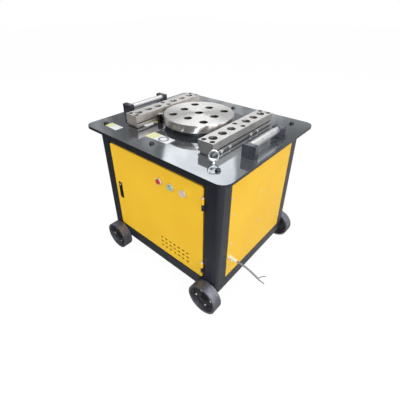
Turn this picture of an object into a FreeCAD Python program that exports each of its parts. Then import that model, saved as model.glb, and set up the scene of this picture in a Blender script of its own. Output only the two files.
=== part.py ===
import FreeCAD, Part
import Sketcher
import math
import os
import re

# A floor-standing machine that bends reinforcing bar round pins set in a turning disc.
# Millimetres. The origin lies on the floor under the centre of the table.
# +X runs to the right along the door, +Y to the back and +Z up.

document = FreeCAD.newDocument("BendingMachine")
sheet = document.addObject("Spreadsheet::Sheet", "Sizes")

driving_sizes = [
    ("table_length", 874),
    ("table_width", 754),
    ("table_thickness", 14),
    ("table_corner_radius", 45),
    ("cabinet_length", 779),
    ("cabinet_width", 665),
    ("frame_height", 651),
    ("post_width", 76),
    ("post_corner_radius", 30),
    ("frame_wall", 4),
    ("rail_depth", 30),
    ("top_rail_height", 57),
    ("bottom_rail_height", 64),
    ("pan_thickness", 3),
    ("panel_thickness", 2),
    ("panel_recess", 0.5),
    ("panel_gap", 1.5),
    ("lip_width", 18),
    ("lip_thickness", 3),
    ("wheel_radius", 80),
    ("wheel_width", 50),
    ("wheel_rim_wall", 10),
    ("wheel_web", 10),
    ("wheel_web_depth", 18),
    ("wheel_hub_radius", 24),
    ("wheel_hub_recess", 10),
    ("wheel_stand_off", 4),
    ("left_wheel_inset", 74.5),
    ("right_wheel_inset", 41.5),
    ("axle_square", 25),
    ("axle_end_radius", 10),
    ("running_clearance", 0.06),
    ("axle_washer_radius", 17),
    ("axle_washer_thickness", 3),
    ("axle_end_stand_out", 3),
    ("seat_gap", 0.3),
    ("disc_radius", 172.5),
    ("disc_thickness", 38),
    ("disc_top_height", 60.6),
    ("disc_turn", 5.06),
    ("disc_hole_pitch", 90.07),
    ("disc_hole_radius", 19),
    ("spindle_flange_radius", 150),
    ("spindle_radius", 40),
    ("spindle_tail", 6),
    ("spindle_gap", 1),
    ("table_hole_gap", 3),
    ("rim_screw_radius", 4),
    ("rim_screw_reach", 3.5),
    ("rim_screw_seat", 0.2),
    ("rim_screw_rise", 9),
    ("rim_screw_angle", -75),
    ("bar_gap", 22.5),
    ("bar_length", 470),
    ("bar_width", 78),
    ("bar_height", 58.6),
    ("bar_hole_radius", 19.5),
    ("bar_first_hole", 58.6),
    ("bar_hole_pitch", 63.8),
    ("bar_groove_height", 7),
    ("bar_groove_depth", 5),
    ("bar_groove_level", 18),
    ("bar_foot_height", 8),
    ("bar_foot_inset", 6),
    ("bar_screw_offset", 22),
    ("bar_screw_reach", 218.8),
    ("bar_screw_head_radius", 10.5),
    ("bar_screw_head_height", 10),
    ("bar_screw_shank_radius", 6),
    ("counterbore_radius", 11.5),
    ("counterbore_depth", 13),
    ("clamp_screw_radius", 6),
    ("clamp_screw_depth", 12),
    ("clamp_screw_reach", 6),
    ("clamp_screw_level", 9),
    ("clamp_cap_radius", 8.6),
    ("clamp_cap_height", 4.5),
    ("clamp_cap_gap", 0.5),
    ("clamp_front_far", 178),
    ("clamp_front_near", 119),
    ("clamp_back_near", 46),
    ("clamp_back_far", 100),
    ("socket_key_share", 0.55),
    ("roller_radius", 16),
    ("roller_level", 40),
    ("roller_shaft_radius", 8),
    ("block_inset", 55.5),
    ("block_roller_shift", 9),
    ("block_length", 63),
    ("block_depth", 26),
    ("block_height", 57),
    ("front_block_reach", 136),
    ("back_block_reach", 108),
    ("block_screw_spacing", 44),
    ("block_screw_head_radius", 6.5),
    ("block_screw_head_height", 6),
    ("block_screw_sink", 7),
    ("block_screw_gap", 1),
    ("block_screw_shank_radius", 4),
    ("table_bolt_inset", 30),
    ("table_bolt_right_inset", 39),
    ("table_bolt_rail_inset", 24),
    ("table_bolt_middle", 7),
    ("hex_bolt_radius", 10.5),
    ("hex_bolt_height", 9),
    ("hex_bolt_shank_radius", 6),
    ("bolt_flange_margin", 1.5),
    ("bolt_flange_height", 1.6),
    ("eye_side_inset", 90),
    ("eye_front_inset", 67.5),
    ("eye_ring_radius", 19),
    ("eye_wire_radius", 3.8),
    ("eye_collar_radius", 10),
    ("eye_collar_height", 5),
    ("eye_collar_slope", 2),
    ("eye_neck_step", 2.5),
    ("eye_shoulder_radius", 7),
    ("eye_turn", 40),
    ("eye_level", 34.5),
    ("switch_gap", 28.5),
    ("switch_angle", 31.16),
    ("switch_length", 18),
    ("switch_depth", 20),
    ("switch_height", 36),
    ("switch_head_inset", 1),
    ("switch_head_height", 5),
    ("switch_shaft_radius", 3),
    ("switch_shaft_depth", 11),
    ("switch_bore_floor", 3),
    ("switch_arm_reach", 15),
    ("switch_arm_thickness", 4),
    ("switch_arm_width", 6),
    ("switch_hub_radius", 6),
    ("switch_roller_radius", 5),
    ("switch_roller_length", 8),
    ("gear_module", 4),
    ("bull_teeth", 72),
    ("pinion_teeth", 16),
    ("gear_width", 32),
    ("gear_rise", 16),
    ("tooth_tip_reach", 0.92),
    ("tooth_root_depth", 1.2),
    ("tooth_tip_share", 0.115),
    ("tooth_root_share", 0.31),
    ("case_wall", 8),
    ("case_depth", 96),
    ("case_room", 9),
    ("bearing_width", 18),
    ("bearing_radius", 65),
    ("pinion_shaft_radius", 15),
    ("pinion_bearing_radius", 31),
    ("driven_pulley_radius", 80),
    ("motor_pulley_radius", 45),
    ("pulley_width", 44),
    ("pulley_drop", 44),
    ("belt_width", 12),
    ("belt_gap", 0.6),
    ("pulley_lip", 3),
    ("belt_thickness", 8),
    ("belt_pitch", 20),
    ("motor_across", 120),
    ("motor_back_gap", 15.5),
    ("motor_pulley_gap", 26),
    ("motor_radius", 88),
    ("motor_height", 270),
    ("motor_shaft_radius", 12),
    ("motor_foot_height", 12),
    ("motor_cap_height", 30),
    ("motor_bore_floor", 20),
    ("motor_stand_margin", 14),
    ("motor_stand_wall", 6),
    ("terminal_box_width", 90),
    ("terminal_box_depth", 40),
    ("terminal_box_height", 80),
    ("terminal_box_rise", 90),
    ("terminal_box_saddle", 6),
    ("fin_count", 24),
    ("fin_height", 6),
    ("fin_thickness", 3),
    ("fin_root", 2),
    ("panel_screw_radius", 4.5),
    ("panel_screw_head", 2.5),
    ("panel_screw_shank", 2.2),
    ("panel_screw_inset", 9),
    ("panel_screw_from_end", 70),
    ("plate_screw_rise", 197.5),
    ("plate_screw_height", 170),
    ("plate_screw_inset", 30.5),
    ("plate_screw_span", 224),
    ("plate_margin", 12),
    ("plate_stand_off", 12),
    ("plate_thickness", 3),
    ("plate_spacer_radius", 7.5),
    ("contactor_width", 54),
    ("contactor_depth", 62),
    ("contactor_height", 86),
    ("contactor_first", 18),
    ("contactor_space", 14),
    ("contactor_rise", 40),
    ("contactor_nose_depth", 12),
    ("contactor_nose_side", 8),
    ("contactor_nose_end", 22),
    ("gland_inset", 19.5),
    ("gland_rise", 124),
    ("gland_hex_radius", 13),
    ("gland_hex_height", 8),
    ("gland_dome_radius", 10.5),
    ("gland_length", 44),
    ("gland_thread_length", 10),
    ("gland_nut_thickness", 5),
    ("gland_cap_height", 14),
    ("gland_relief_step", 1),
    ("gland_mouth_wall", 1.6),
    ("gland_bore", 4.75),
    ("cable_diameter", 9.5),
    ("cable_grip", 30),
    ("core_diameter", 3),
    ("core_spread", 2.4),
    ("door_gap", 6),
    ("door_foot_gap", 5),
    ("door_depth", 18),
    ("door_sheet", 2),
    ("door_corner_radius", 10),
    ("vent_radius", 4.5),
    ("vent_length", 17),
    ("vent_first", 39),
    ("vent_pitch", 29.2),
    ("vent_columns", 7),
    ("vent_rise", 39.5),
    ("vent_row_pitch", 27),
    ("vent_rows", 3),
    ("hinge_radius", 6),
    ("hinge_pin_radius", 3.5),
    ("hinge_half", 30),
    ("hinge_low_rise", 74.5),
    ("hinge_high_drop", 77.5),
    ("hinge_pad", 7),
    ("hinge_pin_short", 3),
    ("hinge_sleeve_floor", 2),
    ("button_first", 48),
    ("button_spacing", 74),
    ("button_drop", 80.5),
    ("bezel_radius", 17.5),
    ("bezel_height", 7),
    ("bezel_floor", 1.5),
    ("bezel_nut_thickness", 4),
    ("button_side_gap", 0.4),
    ("button_radius", 13),
    ("button_cap", 4.7),
    ("button_travel", 4),
    ("barrel_radius", 11),
    ("barrel_length", 22),
    ("stem_radius", 8),
    ("contact_width", 30),
    ("contact_depth", 38),
    ("contact_height", 42),
    ("lock_inset", 39.5),
    ("lock_drop", 269.5),
    ("lock_width", 27),
    ("lock_height", 100),
    ("lock_rim", 2),
    ("lock_depth", 24),
    ("lever_width", 19),
    ("lever_height", 66),
    ("lever_thickness", 8),
    ("lever_margin", 6),
    ("lever_side_gap", 0.5),
    ("lever_end_gap", 1),
    ("lever_back_room", 6),
    ("lever_stand_out", 1),
    ("lever_pin_radius", 2),
    ("lock_button_radius", 6),
    ("lock_button_body", 8),
    ("lock_button_room", 14),
    ("lock_button_travel", 3),
]

for row, (alias, value) in enumerate(driving_sizes, start=1):
    sheet.set(f"A{row}", alias)
    sheet.set(f"B{row}", str(value))
    sheet.setAlias(f"B{row}", alias)
document.recompute()

aliases = {alias for alias, value in driving_sizes}
nodes = []


def size(alias):
    """Read one driving dimension as a number."""
    return float(sheet.get(alias))


def rule(text):
    """Turn a formula in plain size names into one that reads the sheet."""
    words = re.split(r"([A-Za-z_][A-Za-z_0-9]*)", str(text))
    return "".join("Sizes." + word if word in aliases else word for word in words)


def bind(item, path, text):
    """Tie one property of an object to a formula."""
    item.setExpression(path, rule(text))


turns = {
    "X": FreeCAD.Rotation(FreeCAD.Vector(0, 1, 0), 90),
    "Y": FreeCAD.Rotation(FreeCAD.Vector(1, 0, 0), -90),
    "Z": FreeCAD.Rotation(),
}


def place(item, base, turn=None):
    """Put an object at a point given as three formulas."""
    if turn is not None:
        item.Placement = FreeCAD.Placement(FreeCAD.Vector(0, 0, 0), turn)
    for letter, text in zip("xyz", base):
        bind(item, "Placement.Base." + letter, text)
    return item


def box(name, low, extent):
    """A block from its low corner and its three lengths."""
    item = document.addObject("Part::Box", name)
    for path, text in zip(("Length", "Width", "Height"), extent):
        bind(item, path, text)
    return place(item, low)


def rod(name, radius, length, base, axis="Z"):
    """A round bar that starts at base and runs along an axis."""
    item = document.addObject("Part::Cylinder", name)
    bind(item, "Radius", radius)
    bind(item, "Height", length)
    return place(item, base, turns[axis])


def taper(name, radius_low, radius_high, length, base, axis="Z"):
    """A cone that starts at base and runs along an axis."""
    item = document.addObject("Part::Cone", name)
    bind(item, "Radius1", radius_low)
    bind(item, "Radius2", radius_high)
    bind(item, "Height", length)
    return place(item, base, turns[axis])


def hexagon(name, radius, length, base, axis="Z"):
    """A hexagonal bar, its radius measured to the corners."""
    item = document.addObject("Part::Prism", name)
    item.Polygon = 6
    bind(item, "Circumradius", radius)
    bind(item, "Height", length)
    return place(item, base, turns[axis])


def fuse(name, *parts):
    """Weld pieces into one solid."""
    item = document.addObject("Part::MultiFuse", name)
    item.Shapes = list(parts)
    item.Refine = True
    return item


def group(name, parts):
    """Keep like pieces together as separate solids."""
    item = document.addObject("Part::Compound", name)
    item.Links = list(parts)
    return item


def cut(name, base, *tools):
    """Take the tools away from the base."""
    item = document.addObject("Part::Cut", name)
    item.Base = base
    item.Tool = tools[0] if len(tools) == 1 else fuse(name + "_tools", *tools)
    item.Refine = True
    return item


def tube(name, outer, inner, length, base, axis="Z"):
    """A round tube that starts at base and runs along an axis."""
    shell = rod(name + "_outer", outer, length, base, axis)
    return cut(name, shell, rod(name + "_bore", inner, length, base, axis))


def node(item, label):
    """Name a finished piece and list it for writing."""
    item.Label = label
    nodes.append(item)
    return item


def plane_of(body, role):
    """Find one of a body's own origin planes."""
    return next(plane for plane in body.Origin.OriginFeatures if plane.Role == role)


def sketch_on(body, role, name):
    """Start a sketch on one of the body's origin planes."""
    sketch = body.newObject("Sketcher::SketchObject", name)
    sketch.AttachmentSupport = [(plane_of(body, role), "")]
    sketch.MapMode = "FlatFace"
    return sketch


def polygon(sketch, points):
    """Draw a closed outline whose corners are tied to pairs of formulas."""
    count = len(points)
    spots = []
    for index in range(count):
        angle = -2 * math.pi * index / count
        spots.append(FreeCAD.Vector(100 * math.cos(angle), 100 * math.sin(angle), 0))
    first = sketch.GeometryCount
    for index in range(count):
        sketch.addGeometry(Part.LineSegment(spots[index], spots[(index + 1) % count]), False)
    for index in range(count):
        after = first + (index + 1) % count
        sketch.addConstraint(Sketcher.Constraint("Coincident", first + index, 2, after, 1))
    for index, (across, along) in enumerate(points):
        for kind, text in (("DistanceX", across), ("DistanceY", along)):
            number = sketch.addConstraint(Sketcher.Constraint(kind, -1, 1, first + index, 1, 1.0))
            sketch.setExpression(f"Constraints[{number}]", rule(text))


def circle(sketch, across, along, radius):
    """Draw a circle whose centre and radius are tied to formulas."""
    number = sketch.addGeometry(Part.Circle(FreeCAD.Vector(5, 5, 0), FreeCAD.Vector(0, 0, 1), 5), False)
    for kind, text in (("DistanceX", across), ("DistanceY", along)):
        place_number = sketch.addConstraint(Sketcher.Constraint(kind, -1, 1, number, 3, 5.0))
        sketch.setExpression(f"Constraints[{place_number}]", rule(text))
    radius_number = sketch.addConstraint(Sketcher.Constraint("Radius", number, 5.0))
    sketch.setExpression(f"Constraints[{radius_number}]", rule(radius))


def pad(body, sketch, length, name):
    """Raise a sketch into a solid."""
    feature = body.newObject("PartDesign::Pad", name)
    feature.Profile = sketch
    bind(feature, "Length", length)
    return feature


def drill(body, sketch, name, backwards=False):
    """Cut a sketch right through the body."""
    feature = body.newObject("PartDesign::Pocket", name)
    feature.Profile = sketch
    feature.Type = "ThroughAll"
    feature.Reversed = backwards
    return feature


def upright_edges(shape, across, along):
    """Name the upright edges that stand at one of the given corner points."""
    names = []
    for index, edge in enumerate(shape.Edges, start=1):
        ends = [vertex.Point for vertex in edge.Vertexes]
        if len(ends) == 2 and abs(ends[0].x - ends[1].x) < 1e-6 and abs(ends[0].y - ends[1].y) < 1e-6:
            if abs(abs(ends[0].x) - across) < 1e-3 and abs(abs(ends[0].y) - along) < 1e-3:
                names.append(f"Edge{index}")
    return names


# Levels and planes that many pieces share.
frame_low = "(wheel_radius + axle_square / 2)"
frame_top = f"({frame_low} + frame_height)"
table_top = f"({frame_top} + table_thickness)"
frame_side = "(cabinet_length / 2)"
frame_front = "(cabinet_width / 2)"
opening_side = "(cabinet_length / 2 - post_width)"
opening_front = "(cabinet_width / 2 - post_width)"
opening_low = f"({frame_low} + bottom_rail_height)"
opening_high = f"({frame_top} - top_rail_height)"
sides = [("left", -1), ("right", 1)]
ends = [("front", -1), ("back", 1)]
corners = [(side, end, across, along) for end, along in ends for side, across in sides]


def low_edge(sign, outer, length):
    """The low end of a span whose outer face is at sign times outer."""
    return f"{outer} - {length}" if sign > 0 else f"-{outer}"


# The cabinet's corner posts are folded columns with a large outer radius, open inside.
def column(name, across, along, inset, low, length):
    """A square column, rounded at its outer upright edge, shrunk by an inset."""
    width = f"(post_width - 2 * {inset})"
    radius = f"(post_corner_radius - {inset})"
    outer_x = f"(cabinet_length / 2 - {inset})"
    outer_y = f"(cabinet_width / 2 - {inset})"
    whole_x = low_edge(across, outer_x, width)
    whole_y = low_edge(along, outer_y, width)
    short_x = f"{outer_x} - {width}" if across > 0 else f"-{outer_x} + {radius}"
    short_y = f"{outer_y} - {width}" if along > 0 else f"-{outer_y} + {radius}"
    cross = box(name + "_x", (whole_x, short_y, low), (width, f"{width} - {radius}", length))
    deep = box(name + "_y", (short_x, whole_y, low), (f"{width} - {radius}", width, length))
    bend_x = f"{across} * ({outer_x} - {radius})"
    bend_y = f"{along} * ({outer_y} - {radius})"
    bend = rod(name + "_bend", radius, length, (bend_x, bend_y, low))
    return fuse(name, cross, deep, bend)


posts = []
for side, end, across, along in corners:
    skin = column(f"{side}_{end}_skin", across, along, "0", frame_low, "frame_height")
    hollow = column(f"{side}_{end}_hollow", across, along, "frame_wall", frame_low, "frame_height")
    posts.append(cut(f"{side}_{end}_post", skin, hollow))
node(group("posts", posts), "corner_posts")


# The rails are rectangular tubes welded between the posts, flush with their outer faces.
def rail(name, low, extent, along_x):
    """A rectangular tube, open at both ends."""
    skin = box(name + "_skin", low, extent)
    wall = "frame_wall"
    if along_x:
        inner_low = (low[0], f"{low[1]} + {wall}", f"{low[2]} + {wall}")
        inner = (extent[0], f"{extent[1]} - 2 * {wall}", f"{extent[2]} - 2 * {wall}")
    else:
        inner_low = (f"{low[0]} + {wall}", low[1], f"{low[2]} + {wall}")
        inner = (f"{extent[0]} - 2 * {wall}", extent[1], f"{extent[2]} - 2 * {wall}")
    return cut(name, skin, box(name + "_hollow", inner_low, inner))


def rails(name, level, height):
    """Four rails of one height round the cabinet."""
    parts = []
    for end, sign in (("front", -1), ("back", 1)):
        low = (f"-{opening_side}", low_edge(sign, frame_front, "rail_depth"), level)
        parts.append(rail(f"{name}_{end}", low, (f"2 * {opening_side}", "rail_depth", height), True))
    for side, sign in sides:
        low = (low_edge(sign, frame_side, "rail_depth"), f"-{opening_front}", level)
        parts.append(rail(f"{name}_{side}", low, ("rail_depth", f"2 * {opening_front}", height), False))
    return group(name, parts)


node(rails("high", opening_high, "top_rail_height"), "top_rails")
node(rails("low", frame_low, "bottom_rail_height"), "bottom_rails")

# A sheet steel floor lies between the bottom rails and carries the motor's stand.
pan_low = (f"-{frame_side} + rail_depth", f"-{frame_front} + rail_depth", frame_low)
pan_extent = ("cabinet_length - 2 * rail_depth", "cabinet_width - 2 * rail_depth", "pan_thickness")
pan_corners = [column(f"{side}_{end}_pan_notch", across, along, "0", frame_low, "pan_thickness")
               for side, end, across, along in corners]
node(cut("pan", box("pan_sheet", pan_low, pan_extent), *pan_corners), "base_pan")


# Strips welded inside the posts and rails carry the panels and stop the door.
lips = []
lip_back = "(panel_recess + panel_thickness)"
door_stop = "(door_depth + panel_recess + seat_gap)"
for side, sign in sides:
    lip_x = f"{frame_side} - {lip_back} - lip_thickness" if sign > 0 else f"-{frame_side} + {lip_back}"
    for end, low_y in (("front", f"-{opening_front}"), ("back", f"{opening_front} - lip_width")):
        lips.append(box(f"{side}_lip_{end}", (lip_x, low_y, opening_low),
                        ("lip_thickness", "lip_width", f"{opening_high} - {opening_low}")))
for end, sign, depth in (("back", 1, lip_back), ("front", -1, door_stop)):
    lip_y = f"{frame_front} - {depth} - lip_thickness" if sign > 0 else f"-{frame_front} + {depth}"
    for side, low_x in (("left", f"-{opening_side}"), ("right", f"{opening_side} - lip_width")):
        lips.append(box(f"{end}_lip_{side}", (low_x, lip_y, opening_low),
                        ("lip_width", "lip_thickness", f"{opening_high} - {opening_low}")))
plain_lips = group("plain_lips", lips)


# Panel screws pass through the panels into the strips behind them.
def panel_screw(name, point, axis, outward):
    """A low round-headed screw whose head rests on the panel, with its shank inside."""
    x, y, z = point
    shank = "(panel_thickness + lip_thickness)"
    if axis == "X":
        head_base = (x if outward > 0 else f"{x} - panel_screw_head", y, z)
        shank_base = (f"{x} - {shank}" if outward > 0 else x, y, z)
    else:
        head_base = (x, y if outward > 0 else f"{y} - panel_screw_head", z)
        shank_base = (x, f"{y} - {shank}" if outward > 0 else y, z)
    head = rod(name + "_head", "panel_screw_radius", "panel_screw_head", head_base, axis)
    body = rod(name + "_body", "panel_screw_shank", shank, shank_base, axis)
    return fuse(name, head, body), body


screws = []
shanks = {"left": [], "right": [], "back": []}
for level_name, level in (("low", f"{opening_low} + panel_screw_from_end"),
                          ("high", f"{opening_high} - panel_screw_from_end")):
    for side, sign in sides:
        face = f"{frame_side} - panel_recess" if sign > 0 else f"-{frame_side} + panel_recess"
        for end, along in (("front", -1), ("back", 1)):
            spot = (face, f"{along} * ({opening_front} - panel_screw_inset)", level)
            screw, body = panel_screw(f"{side}_{end}_{level_name}_screw", spot, "X", sign)
            screws.append(screw)
            shanks[side].append(body)
    for side, across in sides:
        spot = (f"{across} * ({opening_side} - panel_screw_inset)", f"{frame_front} - panel_recess", level)
        screw, body = panel_screw(f"back_{side}_{level_name}_screw", spot, "Y", 1)
        screws.append(screw)
        shanks["back"].append(body)

gland_y = f"(gland_inset - {opening_front})"
gland_z = f"({opening_low} + gland_rise)"
gland_notch = rod("gland_notch", "gland_hex_radius + seat_gap", "2 * lip_thickness + panel_thickness",
                  (f"{frame_side} - {lip_back} - 2 * lip_thickness", gland_y, gland_z), "X")
lip_tools = shanks["left"] + shanks["right"] + shanks["back"] + [gland_notch]
node(cut("lips", plain_lips, *lip_tools), "panel_lips")

# Four screws through the right panel carry the plate of the control gear.
plate_x = f"({frame_side} - panel_recess - panel_thickness - plate_stand_off - plate_thickness)"
plate_front = f"(plate_screw_inset - {opening_front})"
plate_foot = f"({opening_low} + plate_screw_rise)"
plate_spots = []
for rise in ("0", "plate_screw_height"):
    for reach in ("0", "plate_screw_span"):
        plate_spots.append((f"{plate_front} + {reach}", f"{plate_foot} + {rise}"))
plate_screws = []
for spot in plate_spots:
    head = rod("plate_screw_head", "panel_screw_radius", "panel_screw_head",
               (f"{frame_side} - panel_recess", *spot), "X")
    length = "(panel_thickness + plate_stand_off + plate_thickness)"
    body = rod("plate_screw_body", "panel_screw_shank", length, (plate_x, *spot), "X")
    plate_screws.append(body)
    screws.append(fuse("plate_screw", head, body))
node(group("all_panel_screws", screws), "panel_screws")


# The side and back panels are flat sheets set between the posts and rails.
def side_panel(side, sign, holes):
    """A panel in the opening of one end of the cabinet."""
    low_x = f"{frame_side} - {lip_back}" if sign > 0 else f"-{frame_side} + panel_recess"
    low = (low_x, f"-{opening_front} + panel_gap", f"{opening_low} + panel_gap")
    extent = ("panel_thickness", f"2 * ({opening_front} - panel_gap)",
              f"{opening_high} - {opening_low} - 2 * panel_gap")
    return cut(f"{side}_sheet", box(f"{side}_sheet_blank", low, extent), *holes)


gland_hole = rod("gland_hole", "gland_dome_radius", "4 * panel_thickness",
                 (f"{frame_side} - 3 * panel_thickness", gland_y, gland_z), "X")
node(side_panel("left", -1, shanks["left"]), "left_side_panel")
node(side_panel("right", 1, shanks["right"] + plate_screws + [gland_hole]), "right_side_panel")
back_low = (f"-{opening_side} + panel_gap", f"{frame_front} - {lip_back}", f"{opening_low} + panel_gap")
back_extent = (f"2 * ({opening_side} - panel_gap)", "panel_thickness",
               f"{opening_high} - {opening_low} - 2 * panel_gap")
node(cut("back_sheet", box("back_sheet_blank", back_low, back_extent), *shanks["back"]), "back_panel")

# The control gear: a plate on spacers behind the right panel, with three contactors.
plate_blank = box("plate_blank", (plate_x, f"{plate_front} - plate_margin", f"{plate_foot} - plate_margin"),
                  ("plate_thickness", "plate_screw_span + 2 * plate_margin",
                   "plate_screw_height + 2 * plate_margin"))
plate_spacers = []
for spot in plate_spots:
    base = (f"{plate_x} + plate_thickness", *spot)
    plate_spacers.append(rod("plate_spacer", "plate_spacer_radius", "plate_stand_off", base, "X"))
node(cut("control_plate", fuse("plate_with_spacers", plate_blank, *plate_spacers), *plate_screws),
     "contactor_plate")
contactors = []
for index in range(3):
    low_y = f"{plate_front} + contactor_first + {index} * (contactor_width + contactor_space)"
    low_z = f"{plate_foot} + contactor_rise"
    body = box("contactor_body", (f"{plate_x} - contactor_depth", low_y, low_z),
               ("contactor_depth", "contactor_width", "contactor_height"))
    nose = box("contactor_nose", (f"{plate_x} - contactor_depth - contactor_nose_depth",
                                  f"{low_y} + contactor_nose_side", f"{low_z} + contactor_nose_end"),
               ("contactor_nose_depth", "contactor_width - 2 * contactor_nose_side",
                "contactor_height - 2 * contactor_nose_end"))
    contactors.append(fuse("contactor", body, nose))
node(group("contactor_row", contactors), "contactors")

# The table is one flat plate with rounded corners, a round hole for the spindle and bolt holes.
table = document.addObject("PartDesign::Body", "TableBody")
table_sketch = sketch_on(table, "XY_Plane", "table_outline")
half_x = "table_length / 2"
half_y = "table_width / 2"
polygon(table_sketch, [(f"-{half_x}", f"-{half_y}"), (f"-{half_x}", half_y),
                       (half_x, half_y), (half_x, f"-{half_y}")])
table_pad = pad(table, table_sketch, "table_thickness", "table_slab")
document.recompute()
table_round = table.newObject("PartDesign::Fillet", "table_corners")
table_edges = upright_edges(table_pad.Shape, size("table_length") / 2, size("table_width") / 2)
table_round.Base = (table_pad, table_edges)
bind(table_round, "Radius", "table_corner_radius")
table_holes = sketch_on(table, "XY_Plane", "table_holes")
circle(table_holes, "0", "0", "spindle_radius + table_hole_gap")
bolt_spots = []
for along in (-1, 1):
    bolt_y = f"{along} * (cabinet_width / 2 - table_bolt_inset)"
    bolt_spots.append((f"-({frame_side} - table_bolt_inset)", bolt_y))
    bolt_spots.append(("-table_bolt_middle", f"{along} * (cabinet_width / 2 - table_bolt_rail_inset)"))
    bolt_spots.append((f"{frame_side} - table_bolt_right_inset", bolt_y))
for across, along in bolt_spots:
    circle(table_holes, across, along, "hex_bolt_shank_radius")
eye_x = f"({frame_side} - eye_side_inset)"
eye_y = f"(eye_front_inset - {frame_front})"
circle(table_holes, eye_x, eye_y, "hex_bolt_shank_radius")
drill(table, table_holes, "table_through_holes", True)
place(table, ("0", "0", frame_top))
node(table, "table_plate")

# Hexagon bolts hold the table to the posts and rails.
table_bolts = []
for across, along in bolt_spots:
    head = hexagon("bolt_head", "hex_bolt_radius", "hex_bolt_height", (across, along, table_top))
    flange = rod("bolt_flange", "hex_bolt_radius + bolt_flange_margin", "bolt_flange_height",
                 (across, along, table_top))
    shank = rod("bolt_shank", "hex_bolt_shank_radius", "table_thickness", (across, along, frame_top))
    table_bolts.append(fuse("table_bolt", head, flange, shank))
node(group("table_bolt_set", table_bolts), "table_bolts")

# The lifting eye is a forged ring on a collar, its thread in the table.
eye_lean = FreeCAD.Rotation(FreeCAD.Vector(0, 0, 1), size("eye_turn")).multiply(turns["Y"])
eye_ring = document.addObject("Part::Torus", "eye_ring")
bind(eye_ring, "Radius1", "eye_ring_radius")
bind(eye_ring, "Radius2", "eye_wire_radius")
place(eye_ring, (eye_x, eye_y, f"{table_top} + eye_level"), eye_lean)
eye_spot = (eye_x, eye_y, table_top)
eye_collar = taper("eye_collar", "eye_collar_radius", "eye_collar_radius - eye_collar_slope",
                   "eye_collar_height", eye_spot)
eye_neck = taper("eye_neck", "eye_collar_radius - eye_neck_step", "eye_shoulder_radius",
                 "eye_level - eye_ring_radius", eye_spot)
eye_shank = rod("eye_shank", "hex_bolt_shank_radius", "table_thickness", (*eye_spot[:2], frame_top))
node(fuse("eye", eye_ring, eye_collar, eye_neck, eye_shank), "eye_bolt")


# The two socket bars are thick steel bars with a row of sockets for fixed pins.
bar_offset = "(disc_radius + bar_gap + bar_width / 2)"
clamp_reaches = ("-clamp_front_far", "-clamp_front_near", "clamp_back_near", "clamp_back_far")


def clamp_places(sign):
    """Where the clamping screws stand along a bar: the left bar is the right one turned round."""
    return [f"{sign} * ({reach})" for reach in clamp_reaches]


def socket_bar(side, sign):
    """One bar on its narrower foot, with sockets, counterbored holes and a groove along both sides."""
    centre = f"({sign} * {bar_offset})"
    low = (f"{centre} - bar_width / 2", "-bar_length / 2", table_top)
    blank = box(f"{side}_bar_blank", low, ("bar_width", "bar_length", "bar_height"))
    tools = []
    for along in (-1, 1):
        for index in range(3):
            spot = (centre, f"{along} * (bar_first_hole + {index} * bar_hole_pitch)", table_top)
            tools.append(rod(f"{side}_socket", "bar_hole_radius", "bar_height", spot))
    for across in (-1, 1):
        for along in (-1, 0, 1):
            spot_x = f"{centre} + {across} * bar_screw_offset"
            spot_y = f"{along} * bar_screw_reach"
            sink = (spot_x, spot_y, f"{table_top} + bar_height - counterbore_depth")
            tools.append(rod(f"{side}_counterbore", "counterbore_radius", "counterbore_depth", sink))
            tools.append(rod(f"{side}_screw_hole", "bar_screw_shank_radius", "bar_height",
                             (spot_x, spot_y, table_top)))
        groove_x = f"{centre} + {low_edge(across, '(bar_width / 2)', 'bar_groove_depth')}"
        tools.append(box(f"{side}_groove", (groove_x, "-bar_length / 2", f"{table_top} + bar_groove_level"),
                         ("bar_groove_depth", "bar_length", "bar_groove_height")))
        side_x = f"{centre} + {low_edge(across, '(bar_width / 2)', 'bar_foot_inset')}"
        tools.append(box(f"{side}_side_rebate", (side_x, "-bar_length / 2", table_top),
                         ("bar_foot_inset", "bar_length", "bar_foot_height")))
        end_y = low_edge(across, "(bar_length / 2)", "bar_foot_inset")
        tools.append(box(f"{side}_end_rebate", (low[0], end_y, table_top),
                         ("bar_width", "bar_foot_inset", "bar_foot_height")))
    clamp_x = f"{centre} + {low_edge(sign, '(bar_width / 2)', 'clamp_screw_depth')}"
    for spot_y in clamp_places(sign):
        tools.append(rod(f"{side}_clamp_hole", "clamp_screw_radius", "clamp_screw_depth",
                         (clamp_x, spot_y, f"{table_top} + clamp_screw_level"), "X"))
    return cut(f"{side}_bar", blank, *tools)


for side, sign in sides:
    node(socket_bar(side, sign), f"{side}_socket_bar")

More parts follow.
